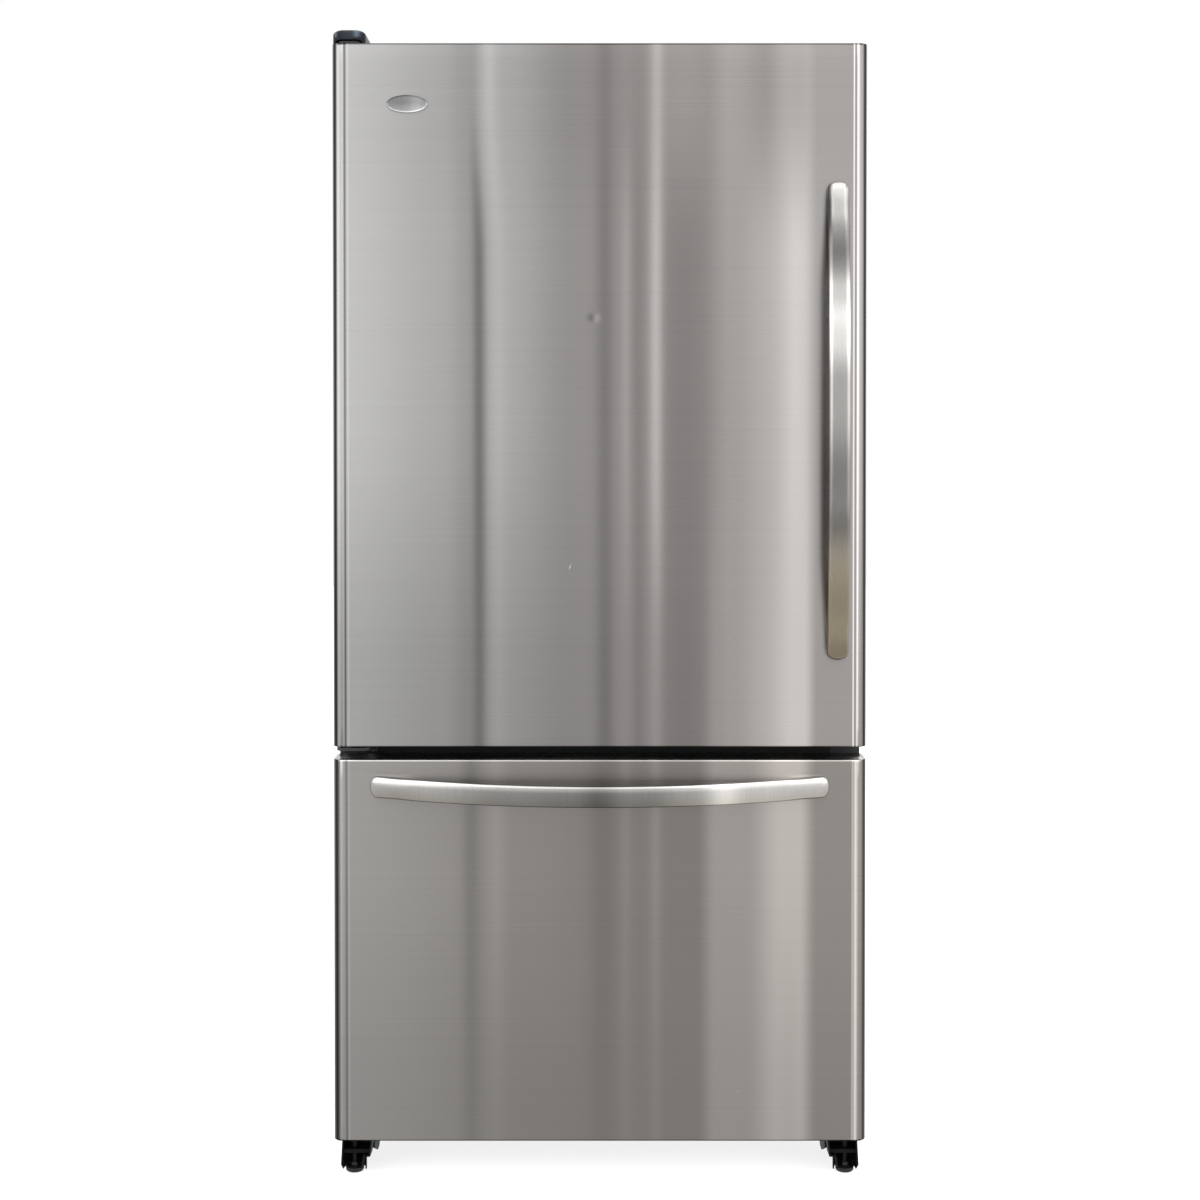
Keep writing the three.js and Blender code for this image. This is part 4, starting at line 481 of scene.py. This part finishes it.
def bow(name, node, body, level, drift, trim, material):
    """A bar lofted along its solid. Level bars run in x and drift down, upright ones drift in x."""
    low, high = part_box(node)
    axis = 0 if level else 2
    half = (high[axis] - low[axis]) / 2 - trim
    middle = (high[axis] + low[axis]) / 2
    stations, sides = 110, 28
    rings = []
    for i in range(stations + 1):
        along = -math.cos(i / stations * math.pi)
        t = abs(along)
        left = half * (1 - t)
        tip = math.sqrt(1 - (1 - left / HANDLE_ROUND) ** 2) if left < HANDLE_ROUND else 1
        width = (HANDLE_WIDTH + HANDLE_FLARE * t * t) * max(tip, 0.02)
        lift = HANDLE_RISE * (1 - t ** 2.2)
        share = min(max((1 - t - HANDLE_ENDS) / HANDLE_ENDS, 0), 1)
        near = HANDLE_SEAT + lift * share * share * (3 - 2 * share)
        far = lift + HANDLE_THICK * (0.55 + 0.45 * tip)
        shift = drift * (1 - t * t)
        ring = []
        for k in range(sides):
            c, s = math.cos(k / sides * 2 * math.pi), math.sin(k / sides * 2 * math.pi)
            side = width / 2 * math.copysign(abs(c) ** 0.55, c) + shift
            off = (near + far) / 2 + (far - near) / 2 * math.copysign(abs(s) ** 0.75, s)
            if level:
                ring.append((middle + along * half, FRONT - off, DRAWER_HANDLE - side))
            else:
                ring.append((DOOR_HANDLE + side, FRONT - off, middle + along * half))
        rings.append(ring)
    points, faces = bridge(rings, caps=True)
    return piece(name, points, faces, body, material, (node,), smooth=60)


def handle_steel(here, base, run, side, streaks, tint):
    """Satin steel with painted light and shade: painted reflections along the bar, painted shade on its
    flanks, painted highlights on its corners and a back painted bright.
    """
    fine = here.stretched(500, 500, 30).grain(1.0, 2, 0.5) - 0.5
    facing = here.add("ShaderNodeTexCoord", out="Normal").axes()[1]
    back, flank, corner = facing.step(0.1, 0.7), facing.hump(-0.05, 0.28), facing.hump(-0.62, 0.16)
    # painted light on the back and the rounded corners, and painted shade on the flanks
    turn = back * 0.34 + flank * -0.32 + corner * 0.06
    tone = fine * 0.05 + side + turn + base
    for place, width, lift in streaks:
        tone = tone + run.hump(place, width) * lift
    light = tone.math("MAXIMUM", tone, 0.05) ** 2.2
    colour = light.tinted(*tint)
    return {
        "Base Color": colour, "Metallic": 1.0, "Roughness": 0.24 + fine * 0.1,
        "Normal": fine.relief(0.08, 0.0003)}


def door_bar(here):
    x, y, z = here.axes()
    low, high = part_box("door_handle")
    bend = (z - (low.z + high.z) / 2) * (2 / (high.z - low.z))
    across = (x - DOOR_HANDLE - (1 - bend * bend) * DOOR_SWAY) * (1 / HANDLE_HALF)
    # painted shade on both flanks near the top end, deeper on the left
    sides = across.step(-0.50, -0.90) * z.step(1.44, 1.50) * -0.45
    sides = sides + across.step(0.50, 0.90) * z.step(1.42, 1.50) * -0.16
    # painted highlights and shade along the bar
    streaks = [
        (1.535, 0.018, 0.175), (1.500, 0.020, 0.128), (1.440, 0.024, -0.100), (1.385, 0.022, 0.189),
        (1.345, 0.026, 0.290), (1.300, 0.040, 0.295), (1.200, 0.060, 0.080), (1.100, 0.050, -0.078),
        (1.020, 0.030, -0.103), (0.900, 0.040, -0.052), (0.820, 0.030, -0.096)]
    # a painted warm reflection of the floor on the low end
    warm = z.step(1.06, 0.91)
    return handle_steel(here, 0.572, z, sides, streaks, (warm * 0.15 + 1.01, 0.985, warm * -0.23 + 0.95))


def drawer_bar(here):
    x, y, z = here.axes()
    low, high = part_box("drawer_handle")
    bend = x * (2 / (high.x - low.x))
    across = (z - DRAWER_HANDLE + (1 - bend * bend) * DRAWER_SAG) * (1 / HANDLE_HALF)
    # a painted highlight along the top edge, painted light towards the top and a painted dark line along the
    # bottom edge
    sides = across.step(0.30, 0.75) * 0.15 + across * 0.05 + across.step(-0.80, -1.0) * -0.10
    # painted highlights and shade along the bar
    streaks = [
        (-0.355, 0.040, 0.075), (-0.260, 0.060, 0.075), (-0.150, 0.050, -0.034), (-0.060, 0.050, -0.072),
        (0.000, 0.030, -0.145), (0.070, 0.040, -0.058), (0.130, 0.030, 0.050), (0.190, 0.030, 0.315),
        (0.250, 0.040, 0.181), (0.310, 0.040, 0.158), (0.345, 0.020, 0.087)]
    warm = across.step(0.2, -0.9)
    return handle_steel(here, 0.565, x, sides, streaks, (warm * 0.03 + 1.01, 0.98, warm * -0.07 + 0.945))


bow("door_bar", "door_handle", "fresh_door", False, DOOR_SWAY, DOOR_TRIM, finish("door bar steel", door_bar))
bow("drawer_bar", "drawer_handle", "freezer_front", True, DRAWER_SAG, DRAWER_TRIM,
    finish("drawer bar steel", drawer_bar))


# ---- Oval plate ----
# Bare pressed plate with a raised bead round its rim, glued on the door near the top hinge.
PLATE = (-0.2970, 1.6692)  # x and z of its middle
PLATE_HALF = (0.0322, 0.0140)
plate_steps = [  # how far in from the rim, and how far out from the door
    (0.0, 0.0002), (0.0, 0.0011), (0.0005, 0.0018), (0.0012, 0.0021), (0.0020, 0.0018), (0.0024, 0.0012),
    (0.0030, 0.0010), (0.0060, 0.0012), (0.0100, 0.0014), (0.0135, 0.00145)]
plate_rings = [
    [(PLATE[0] + (PLATE_HALF[0] - pull) * math.cos(k * math.pi / 36), FRONT - out,
      PLATE[1] + (PLATE_HALF[1] - pull) * math.sin(k * math.pi / 36)) for k in range(72)]
    for pull, out in plate_steps]


def pressed_plate(here):
    x, y, z = here.axes()
    bead = y.step(FRONT - 0.0013, FRONT - 0.0018)
    fine = here.stretched(900, 100, 60).grain(1.0, 2) - 0.5
    # painted shade on the bead's upper side and light on its lower side, a painted highlight right of the
    # middle, and the lower part painted lighter
    tone = 0.53 + bead * (z.step(PLATE[1] + 0.012, PLATE[1] - 0.008) * 0.24 - 0.18) + fine * 0.08
    tone = tone + x.hump(PLATE[0] + 0.016, 0.014) * 0.12 + z.step(PLATE[1] + 0.004, PLATE[1] - 0.010) * 0.10
    light = tone ** 2.2
    colour = light.tinted(1, 1, 1.02)
    return {"Base Color": colour, "Metallic": 1.0, "Roughness": 0.22 + fine * 0.1,
            "Normal": fine.relief(0.1, 0.0002)}


points, faces = bridge(plate_rings, caps=True)
piece("oval_plate", points, faces, "fresh_door", finish("pressed plate", pressed_plate))


# ---- Hinge cap ----
# Glossy slate-grey moulding over the top hinge, open below, with its front lip arched over the
# pin. It snaps over the hinge plate on the case top.
cap_low, cap_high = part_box("hinge_cover")
CAP_WALL = 0.0022
CAP_CORNER = 0.013
CAP_EDGE = 0.0062  # radius of its upper edge
CAP_CROWN = 0.12  # share of its height by which its ends are lower
ARCH_HALF = 0.021
ARCH_FOOT = 0.003


def plan(x0, x1, y0, y1, radius, turns):
    """Rounded rectangle seen from above, as (x, y) pairs."""
    corners = [(x1, y1, 0), (x0, y1, 1), (x0, y0, 2), (x1, y0, 3)]
    out = []
    for cx, cy, quarter in corners:
        ox = cx - radius if quarter in (0, 3) else cx + radius
        oy = cy - radius if quarter in (0, 1) else cy + radius
        for k in range(turns + 1):
            a = (quarter + k / turns) * math.pi / 2
            out.append((ox + radius * math.cos(a), oy + radius * math.sin(a)))
    return out


def cap_rings(wall, height, radius):
    middle = (cap_low.x + cap_high.x) / 2
    half = (cap_high.x - cap_low.x) / 2
    levels = [(0, 0), (height * 0.3, 0)]
    levels += [(height - CAP_EDGE + CAP_EDGE * math.sin(a), CAP_EDGE * (1 - math.cos(a)))
               for a in (k * math.pi / 16 for k in range(9))]
    rings = []
    for up, pull in levels:
        inset = wall + pull
        ring = []
        for x, y in plan(cap_low.x + inset, cap_high.x - inset, cap_low.y + inset, cap_high.y - inset,
                         max(radius - inset * 0.6, 0.003), 8):
            away = (x - middle) / ARCH_HALF
            on_lip = abs(away) < 1 and y < cap_low.y + 0.008
            arch = ARCH_FOOT * (2 - away * away) if on_lip else 0
            crown = 1 - CAP_CROWN * ((x - middle) / half) ** 2
            ring.append((x, y, cap_low.z + max(up * crown, arch)))
        rings.append(ring)
    return rings


def slate(here):
    x, y, z = here.axes()
    dust = here.grain(55, 4) * here.grain(400, 2)
    middle = (cap_low.x + cap_high.x) / 2
    # a painted reflection lightens the middle of the front above its lower edge
    painted_middle_sheen = x.hump(middle, 0.015) * z.step(cap_low.z + 0.001, cap_low.z + 0.010)
    # painted highlights: soft upright gleams where the ends turn, left and right of the middle
    upper = z.step(cap_low.z + 0.006, cap_low.z + 0.012) * z.step(cap_high.z + 0.001, cap_high.z - 0.004)
    gleam = (x.hump(middle - 0.0205, 0.0022) + x.hump(middle + 0.0125, 0.0048)) * upper
    tone = painted_middle_sheen * 0.020 + gleam * 0.11 + dust * 0.008 + 0.004
    colour = tone.tinted(1, 1.30, 1.62)
    peel = here.grain(900, 2)
    return {"Base Color": colour, "Roughness": 0.40 + dust * 0.30, "Normal": peel.relief(0.05, 0.0003),
            "Specular IOR Level": 0.16}


cap_height = cap_high.z - cap_low.z - 0.002
outer = cap_rings(0, cap_height, CAP_CORNER)
inner = cap_rings(CAP_WALL, cap_height - CAP_WALL, CAP_CORNER)
points, faces = bridge(inner[::-1] + outer, caps=True)
cap_finish = finish("slate moulding", slate)
piece("hinge_cap", points, faces, "cabinet", cap_finish, ("hinge_cover",), smooth=50)


# ---- Hinges ----
# Pressed steel, painted black. The top one sits under the cap, and the middle one's arm reaches
# out between the fronts to carry the door's pin and washer.
def dress(node, material, width=0.0006, segments=2):
    """Gives a carried-over solid its finish and softens its edges."""
    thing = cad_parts[node]
    thing.data.materials.clear()
    thing.data.materials.append(material)
    joined = thing.modifiers.new("join", "WELD")
    joined.merge_threshold = 0.00002
    flat = thing.modifiers.new("flats", "DECIMATE")
    flat.decimate_type = "DISSOLVE"
    flat.angle_limit = math.radians(0.5)
    edges = thing.modifiers.new("edges", "BEVEL")
    edges.width = width
    edges.segments = segments
    edges.limit_method = "ANGLE"
    edges.angle_limit = math.radians(32)
    edges.harden_normals = False
    thing.data.shade_smooth()
    shading = thing.modifiers.new("shading", "WEIGHTED_NORMAL")
    shading.keep_sharp = True
    return thing


def plated(here):
    """Zinc plate with its faint spangle and dull streaks."""
    sockets = {"Vector": here, "Scale": 110.0, "Randomness": 1.0}
    cells = here.add("ShaderNodeTexVoronoi", {"feature": "F1"}, sockets, "Color")
    spangle, other, _ = cells.axes()
    cloud = here.grain(14, 4)
    tone = 0.40 + spangle * 0.07 + cloud * 0.16
    colour = tone.tinted(1, 1.01, 1.03)
    rough = 0.34 + other * 0.10 + cloud * 0.12
    return {"Base Color": colour, "Metallic": 1.0, "Roughness": rough, "Normal": spangle.relief(0.04, 0.0003)}


def black_paint(here):
    """Semi-gloss black paint over pressed steel, a little dusty."""
    dust = here.grain(38, 5) * here.grain(260, 3)
    tone = 0.016 + dust * 0.05
    colour = tone.tinted(1, 1, 1.06)
    peel = here.grain(600, 2)
    return {"Base Color": colour, "Roughness": 0.22 + dust * 0.6, "Normal": peel.relief(0.08, 0.0004),
            "Coat Weight": 0.2}


zinc_finish = finish("zinc plate", plated)
black_finish = finish("black paint", black_paint)
dress("top_hinge", black_finish)
dress("middle_hinge", black_finish)


# ---- Case ----
# Steel wrapper in dark textured paint, folded over the top and sides, on a black base frame.
# A zinc-plated panel closes its rear, and a painted rail stands between the two compartments.
def textured_paint(here):
    pebble = here.grain(520, 3, 0.7)
    cloud = here.grain(6, 3)
    tone = 0.030 + cloud * 0.010 + pebble * 0.006
    colour = tone.tinted(1, 1.01, 1.05)
    return {"Base Color": colour, "Roughness": 0.46 + pebble * 0.16, "Normal": pebble.relief(0.35, 0.0005)}


def rail_paint(here):
    """Dead black, darker than the case paint, partly its own colour and partly painted shade in the gap
    between the fronts.
    """
    pebble = here.grain(520, 3, 0.7)
    tone = 0.006 + pebble * 0.006
    colour = tone.tinted(1, 1, 1.04)
    return {"Base Color": colour, "Roughness": 0.62 + pebble * 0.16, "Normal": pebble.relief(0.35, 0.0005)}


case_finish = finish("textured case paint", textured_paint)
dress("cabinet_shell", case_finish)
dress("mullion_rail", finish("rail paint", rail_paint))
dress("base_frame", black_finish)
dress("back_panel", zinc_finish)


# ---- Feet ----
# Under each front corner a black pressed bracket, with a half cup round its foot, holds a nylon
# roller and a levelling leg: a domed pad with a hexagonal collar on a threaded stem. Two more
# rollers carry the rear.
def turned(profile, axis, centre, sides, caps=True):
    """Points and faces of a solid turned about an axis: profile holds (radius, along) pairs."""
    rings = []
    for radius, along in profile:
        ring = []
        for k in range(sides):
            a = 2 * math.pi * k / sides
            u, v = radius * math.cos(a), radius * math.sin(a)
            spot = {"x": (along, u, v), "y": (u, along, v), "z": (u, v, along)}[axis]
            ring.append(tuple(c + s for c, s in zip(centre, spot)))
        rings.append(ring)
    return bridge(rings, caps=caps)


def gather(*parts):
    """One list of points and faces from several."""
    points, faces = [], []
    for more, sides in parts:
        faces += [tuple(i + len(points) for i in face) for face in sides]
        points += more
    return points, faces


def nylon(here):
    """Moulded black nylon, scuffed grey where it rubs the floor."""
    x, y, z = here.axes()
    scuff = here.grain(180, 4).step(0.52, 0.72) * z.step(0.030, 0.0)
    fleck = here.grain(700, 2)
    tone = 0.010 + scuff * 0.02 + fleck * 0.006
    colour = tone.tinted(1, 1, 1.04)
    return {"Base Color": colour, "Roughness": 0.30 + scuff * 0.35, "Normal": fleck.relief(0.15, 0.0004),
            "Specular IOR Level": 0.35}


def boot_paint(here):
    """Deep black paint of the brackets, which hardly mirrors the pale floor: partly their own black and
    partly painted shade from under the case.
    """
    dust = here.grain(38, 5) * here.grain(260, 3)
    tone = 0.006 + dust * 0.022
    colour = tone.tinted(1, 1.02, 1.12)
    peel = here.grain(600, 2)
    return {"Base Color": colour, "Roughness": 0.38 + dust * 0.5, "Normal": peel.relief(0.08, 0.0004),
            "Specular IOR Level": 0.07}


nylon_finish = finish("black nylon", nylon)
boot_finish = finish("boot paint", boot_paint)
CUP_REACH = 0.0188
CUP_WALL = 0.0016
CUP_FOOT = 0.0040
CUP_TOP = 0.0340
PAD = [(0.001, 0.0), (0.0095, 0.0), (0.0120, 0.0006), (0.0135, 0.0018), (0.0143, 0.0036), (0.0145, 0.0058),
       (0.0138, 0.0074), (0.0118, 0.0086), (0.0085, 0.0095), (0.0062, 0.0104), (0.0050, 0.0112)]
COLLAR = [(0.0072, 0.0096), (0.0078, 0.0103), (0.0078, 0.0148), (0.0072, 0.0155)]
PITCH = 0.0014
CORE, CREST = 0.0043, 0.0049
BORE, HUB = 0.0043, 0.0080


def cup(centre):
    """Half a ring round behind the pad, open to the front."""
    turns = [math.radians(-14 + 208 * k / 24) for k in range(25)]
    inside = CUP_REACH - CUP_WALL
    edges = [(CUP_REACH, CUP_FOOT), (CUP_REACH, CUP_TOP), (inside, CUP_TOP), (inside, CUP_FOOT)]
    rings = [[(centre[0] + reach * math.cos(a), centre[1] + reach * math.sin(a), up) for a in turns]
             for reach, up in edges]
    points, faces = bridge(rings + rings[:1], closed=False)
    # the last ring is the first one again
    count = len(turns)
    points, faces = points[:4 * count], [tuple(i % (4 * count) for i in face) for face in faces]
    faces += [tuple(row * count + end for row in range(4)) for end in (0, count - 1)]
    return points, faces


def wheel(low, high, step):
    """A roller with a hub wider than its tread by a step on either side, and a bore."""
    hub = ((low.x + high.x) / 2, (low.y + high.y) / 2, (low.z + high.z) / 2)
    out, wide = (high.z - low.z) / 2, (high.x - low.x) / 2
    tread = wide - step
    half = [(out, tread * 0.4), (out - 0.0002, tread - 0.0026), (out - 0.0010, tread - 0.0008),
            (out - 0.0026, tread), (out * 0.70, tread), (out * 0.62, tread - 0.0020),
            (HUB, tread - 0.0015), (HUB, wide - 0.0006), (HUB - 0.0005, wide), (BORE, wide)]
    profile = [(radius, -along) for radius, along in half[::-1]] + half
    return turned(profile + profile[:1], "x", hub, 48, caps=False)


for side in ("left", "right"):
    leg_low, leg_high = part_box(f"levelling_leg_{side}")
    centre = ((leg_low.x + leg_high.x) / 2, (leg_low.y + leg_high.y) / 2, 0)
    stem, z = [], PAD[-1][1]
    while z < leg_high.z - 0.001:
        stem += [(CORE, z + 0.0004), (CREST, z + 0.0008), (CREST, z + 0.0010), (CORE, z + PITCH)]
        z += PITCH
    shaft = turned(PAD + stem + [(0.0042, leg_high.z), (0.0010, leg_high.z)], "z", centre, 40)
    points, faces = gather(shaft, turned(COLLAR, "z", centre, 6))
    piece(f"leg_{side}", points, faces, f"{side}_leg", nylon_finish,
          (f"levelling_leg_{side}",), smooth=35)
    dress(f"front_bracket_{side}", boot_finish, 0.0007)
    points, faces = cup(centre)
    piece(f"bracket_cup_{side}", points, faces, "cabinet", boot_finish, smooth=35)
    for end, step in (("front", 0.008), ("rear", 0.0018)):
        name = f"{end}_roller_{side}"
        points, faces = wheel(*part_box(name), step)
        piece(f"{end}_wheel_{side}", points, faces, f"{side}_{end}_roller", nylon_finish,
              (name,), smooth=35)


# ---- Screws ----
# Zinc-plated screws with a flange and a hexagonal head. They hold the rear panel, the cover of
# the machine space, the evaporator cover and the leaf of the middle hinge.
def screws(name, body, places, facing, flange, head):
    """Flange and head are (radius, height); facing is -1 for heads towards the fronts."""
    rim, thin = flange
    radius, tall = head
    foot = [(rim * 0.5, 0), (rim, 0), (rim, thin * 0.6 * facing), (radius, thin * facing)]
    hexagon = [
        (radius * 0.9, thin * 0.7 * facing), (radius, thin * facing), (radius, tall * 0.85 * facing),
        (radius * 0.86, tall * facing), (radius * 0.6, tall * facing), (radius * 0.5, tall * 0.8 * facing)]
    parts = []
    for place in places:
        parts += [turned(foot, "y", place, 24), turned(hexagon, "y", place, 6)]
    points, faces = gather(*parts)
    piece(name, points, faces, body, zinc_finish, smooth=30)


FLAT_HEAD = (0.0050, 0.0005), (0.0034, 0.0016)
TALL_HEAD = (0.0055, 0.0008), (0.0038, 0.0036)
LEAF_HEAD = (0.0050, 0.0007), (0.0038, 0.0030)
rear_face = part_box("back_panel")[1].y
panel_screws = [(side * 0.390, rear_face, z) for side in (-1, 1) for z in (0.36, 0.80, 1.24, 1.70)]
screws("panel_screws", "cabinet", panel_screws + [(0.0, rear_face, 1.748)], 1, *FLAT_HEAD)
cover_screws = [(side * x, rear_face, z) for side in (-1, 1) for x in (0.130, 0.384) for z in (0.072, 0.284)]
screws("cover_screws", "cabinet", cover_screws, 1, *FLAT_HEAD)
fan_cover_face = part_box("evaporator_cover")[0].y
fan_screws = [(side * 0.340, fan_cover_face, z) for side in (-1, 1) for z in (0.385, 0.600)]
screws("fan_cover_screws", "cabinet", fan_screws, -1, *TALL_HEAD)
leaf_low, leaf_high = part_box("middle_hinge")
leaf_places = (leaf_low.x + 0.010, leaf_high.x - 0.010)
leaf_screws = [(x, leaf_high.y - 0.003, leaf_low.z + 0.0065) for x in leaf_places]
screws("leaf_screws", "cabinet", leaf_screws, -1, *LEAF_HEAD)


# ---- Gaskets ----
# Soft dark vinyl extrusions with a magnet in their flat sealing face and a pleat behind it,
# welded at the corners and pressed into the rear of the door and the drawer front.
def frame_rings(low, high, profile, radius, turns=4):
    """Rings round an upright rectangle: profile holds (inset, y) pairs."""
    rings = []
    for inset, y in profile:
        corner = max(radius - inset, 0.0012)
        loop = plan(low.x + inset, high.x - inset, low.z + inset, high.z - inset, corner, turns)
        rings.append([(x, y, z) for x, z in loop])
    return rings


def vinyl(here):
    fleck = here.grain(1200, 2)
    cloud = here.grain(18, 3)
    tone = 0.055 + cloud * 0.018 + fleck * 0.01
    colour = tone.tinted(1, 1.02, 1.06)
    return {"Base Color": colour, "Roughness": 0.52 + fleck * 0.12, "Normal": fleck.relief(0.12, 0.0003)}


vinyl_finish = finish("gasket vinyl", vinyl)
for owner, body in (("door", "fresh_door"), ("drawer", "freezer_front")):
    low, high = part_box(f"{owner}_gasket")
    y0, y1 = low.y, high.y
    deep = y1 - y0
    profile = [
        (0.0040, y0), (0.0026, y0 + deep * 0.10), (0.0060, y0 + deep * 0.24), (0.0022, y0 + deep * 0.40),
        (0.0004, y0 + deep * 0.52), (0.0, y0 + deep * 0.66), (0.0006, y1 - 0.0012), (0.0020, y1 - 0.0002),
        (0.0040, y1), (0.0170, y1), (0.0186, y1 - 0.0006), (0.0192, y1 - 0.0020), (0.0188, y0 + deep * 0.55),
        (0.0176, y0 + deep * 0.46), (0.0206, y0 + deep * 0.34), (0.0226, y0 + deep * 0.22),
        (0.0236, y0 + deep * 0.10), (0.0230, y0 + 0.0002), (0.0180, y0)]
    rings = frame_rings(low, high, profile, 0.006)
    points, faces = bridge(rings + [rings[0]])
    piece(f"{owner}_seal", points, faces, body, vinyl_finish, (f"{owner}_gasket",), smooth=50)


# ---- Moulded white pieces ----
# Inner panels, liners, shelf frames, controls and baskets in white styrene: smooth, with a low
# gloss and a faint flow mottle.
def styrene(here):
    x, y, z = here.axes()
    flow = here.stretched(1, 1, 0.4).grain(5, 4)
    peel = here.grain(330, 2)
    tone = 0.76 + flow * 0.07
    colour = tone.tinted(1, 1.004, 0.988)
    return {"Base Color": colour, "Roughness": 0.26 + flow * 0.10 + peel * 0.05,
            "Normal": peel.relief(0.06, 0.0004), "Coat Weight": 0.12}


styrene_finish = finish("white styrene", styrene)
for node in ("fridge_liner", "freezer_liner", "evaporator_cover", "drain_pan"):
    dress(node, styrene_finish, 0.0007)
for node in ("door_liner", "drawer_liner", "lower_shelf_frame", "upper_shelf_frame", "crisper_cover_frame",
             "control_housing", "lower_basket", "upper_basket", "light_switch_plunger",
             "temperature_knob_left", "temperature_knob_right"):
    dress(node, styrene_finish, 0.0009, 3)


# ---- Clear bins and crispers ----
# Clear moulded styrene with a faint cool cast, polished outside and slightly hazy inside.
def clear_moulding(here):
    haze = here.grain(26, 3)
    return {"Base Color": (0.90, 0.955, 0.965, 1), "Roughness": 0.05 + haze * 0.08,
            "Transmission Weight": 0.92, "IOR": 1.49, "Normal": haze.relief(0.03, 0.0006)}


clear_finish = finish("clear moulding", clear_moulding)
for node in ("door_bin_lower", "door_bin_upper", "dairy_bin", "dairy_flap", "crisper_left", "crisper_right",
             "lamp_lens"):
    dress(node, clear_finish, 0.0007)


# ---- Glass shelves ----
# Toughened float glass, 4 mm, with ground edges, dropped into the rebates of the shelf frames.
def float_glass(here):
    wipe = here.stretched(2, 7, 1).grain(4, 3)
    return {"Base Color": (0.80, 0.93, 0.89, 1), "Roughness": 0.015 + wipe * 0.04,
            "Transmission Weight": 1.0, "IOR": 1.52, "Normal": wipe.relief(0.01, 0.0004)}


glass_finish = finish("float glass", float_glass)
for node in ("lower_shelf_glass", "upper_shelf_glass", "crisper_cover_glass"):
    dress(node, glass_finish, 0.0005)


# ---- Freezer slides and drawer frame ----
# Roll-formed zinc-plated channels on the liner's walls, and the frame that runs in them.
for node in ("slide_rail_left", "slide_rail_right", "drawer_frame"):
    dress(node, zinc_finish, 0.0005)


# ---- Insulation ----
# Foamed in place behind every liner: fine closed cells, dull yellow.
def foamed(here):
    cells = here.add("ShaderNodeTexVoronoi", {"feature": "F1"}, {"Vector": here, "Scale": 900.0}, "Distance")
    cloud = here.grain(20, 4)
    colour = cloud.blend((0.62, 0.52, 0.27, 1), (0.80, 0.72, 0.46, 1))
    return {"Base Color": colour, "Roughness": 0.9, "Normal": cells.relief(0.4, 0.0006)}


foam_finish = finish("insulation foam", foamed)
for node in ("cabinet_foam", "door_foam", "drawer_foam"):
    dress(node, foam_finish, 0.0004, 1)


# ---- Cooling unit ----
# Finned aluminium evaporator behind a white cover, with its motor and moulded fan, and in the
# machine space the compressor, wire-tied condenser, drain pan, shroud and fan.
def bare_aluminium(here):
    rub = here.stretched(400, 30, 30).grain(1.0, 3)
    frost = here.grain(60, 4)
    tone = 0.55 + rub * 0.10 + frost * 0.12
    colour = tone.tinted(1, 1.01, 1.03)
    return {"Base Color": colour, "Metallic": 1.0, "Roughness": 0.30 + frost * 0.22,
            "Normal": rub.relief(0.08, 0.0003)}


def fan_moulding(here):
    fleck = here.grain(800, 2)
    tone = 0.035 + fleck * 0.012
    colour = tone.tinted(1, 1.02, 1.08)
    return {"Base Color": colour, "Roughness": 0.44 + fleck * 0.15, "Normal": fleck.relief(0.10, 0.0003)}


fan_finish = finish("fan moulding", fan_moulding)
dress("evaporator", finish("bare aluminium", bare_aluminium), 0.0003)
dress("evaporator_fan_blade", fan_finish, 0.0003)
dress("condenser_fan_blade", fan_finish, 0.0003)
dress("evaporator_fan_motor", zinc_finish)
dress("condenser_fan_shroud", zinc_finish)
dress("machine_cover", zinc_finish, 0.0004)
dress("condenser_coil", black_finish, 0.0003)
dress("compressor", black_finish)
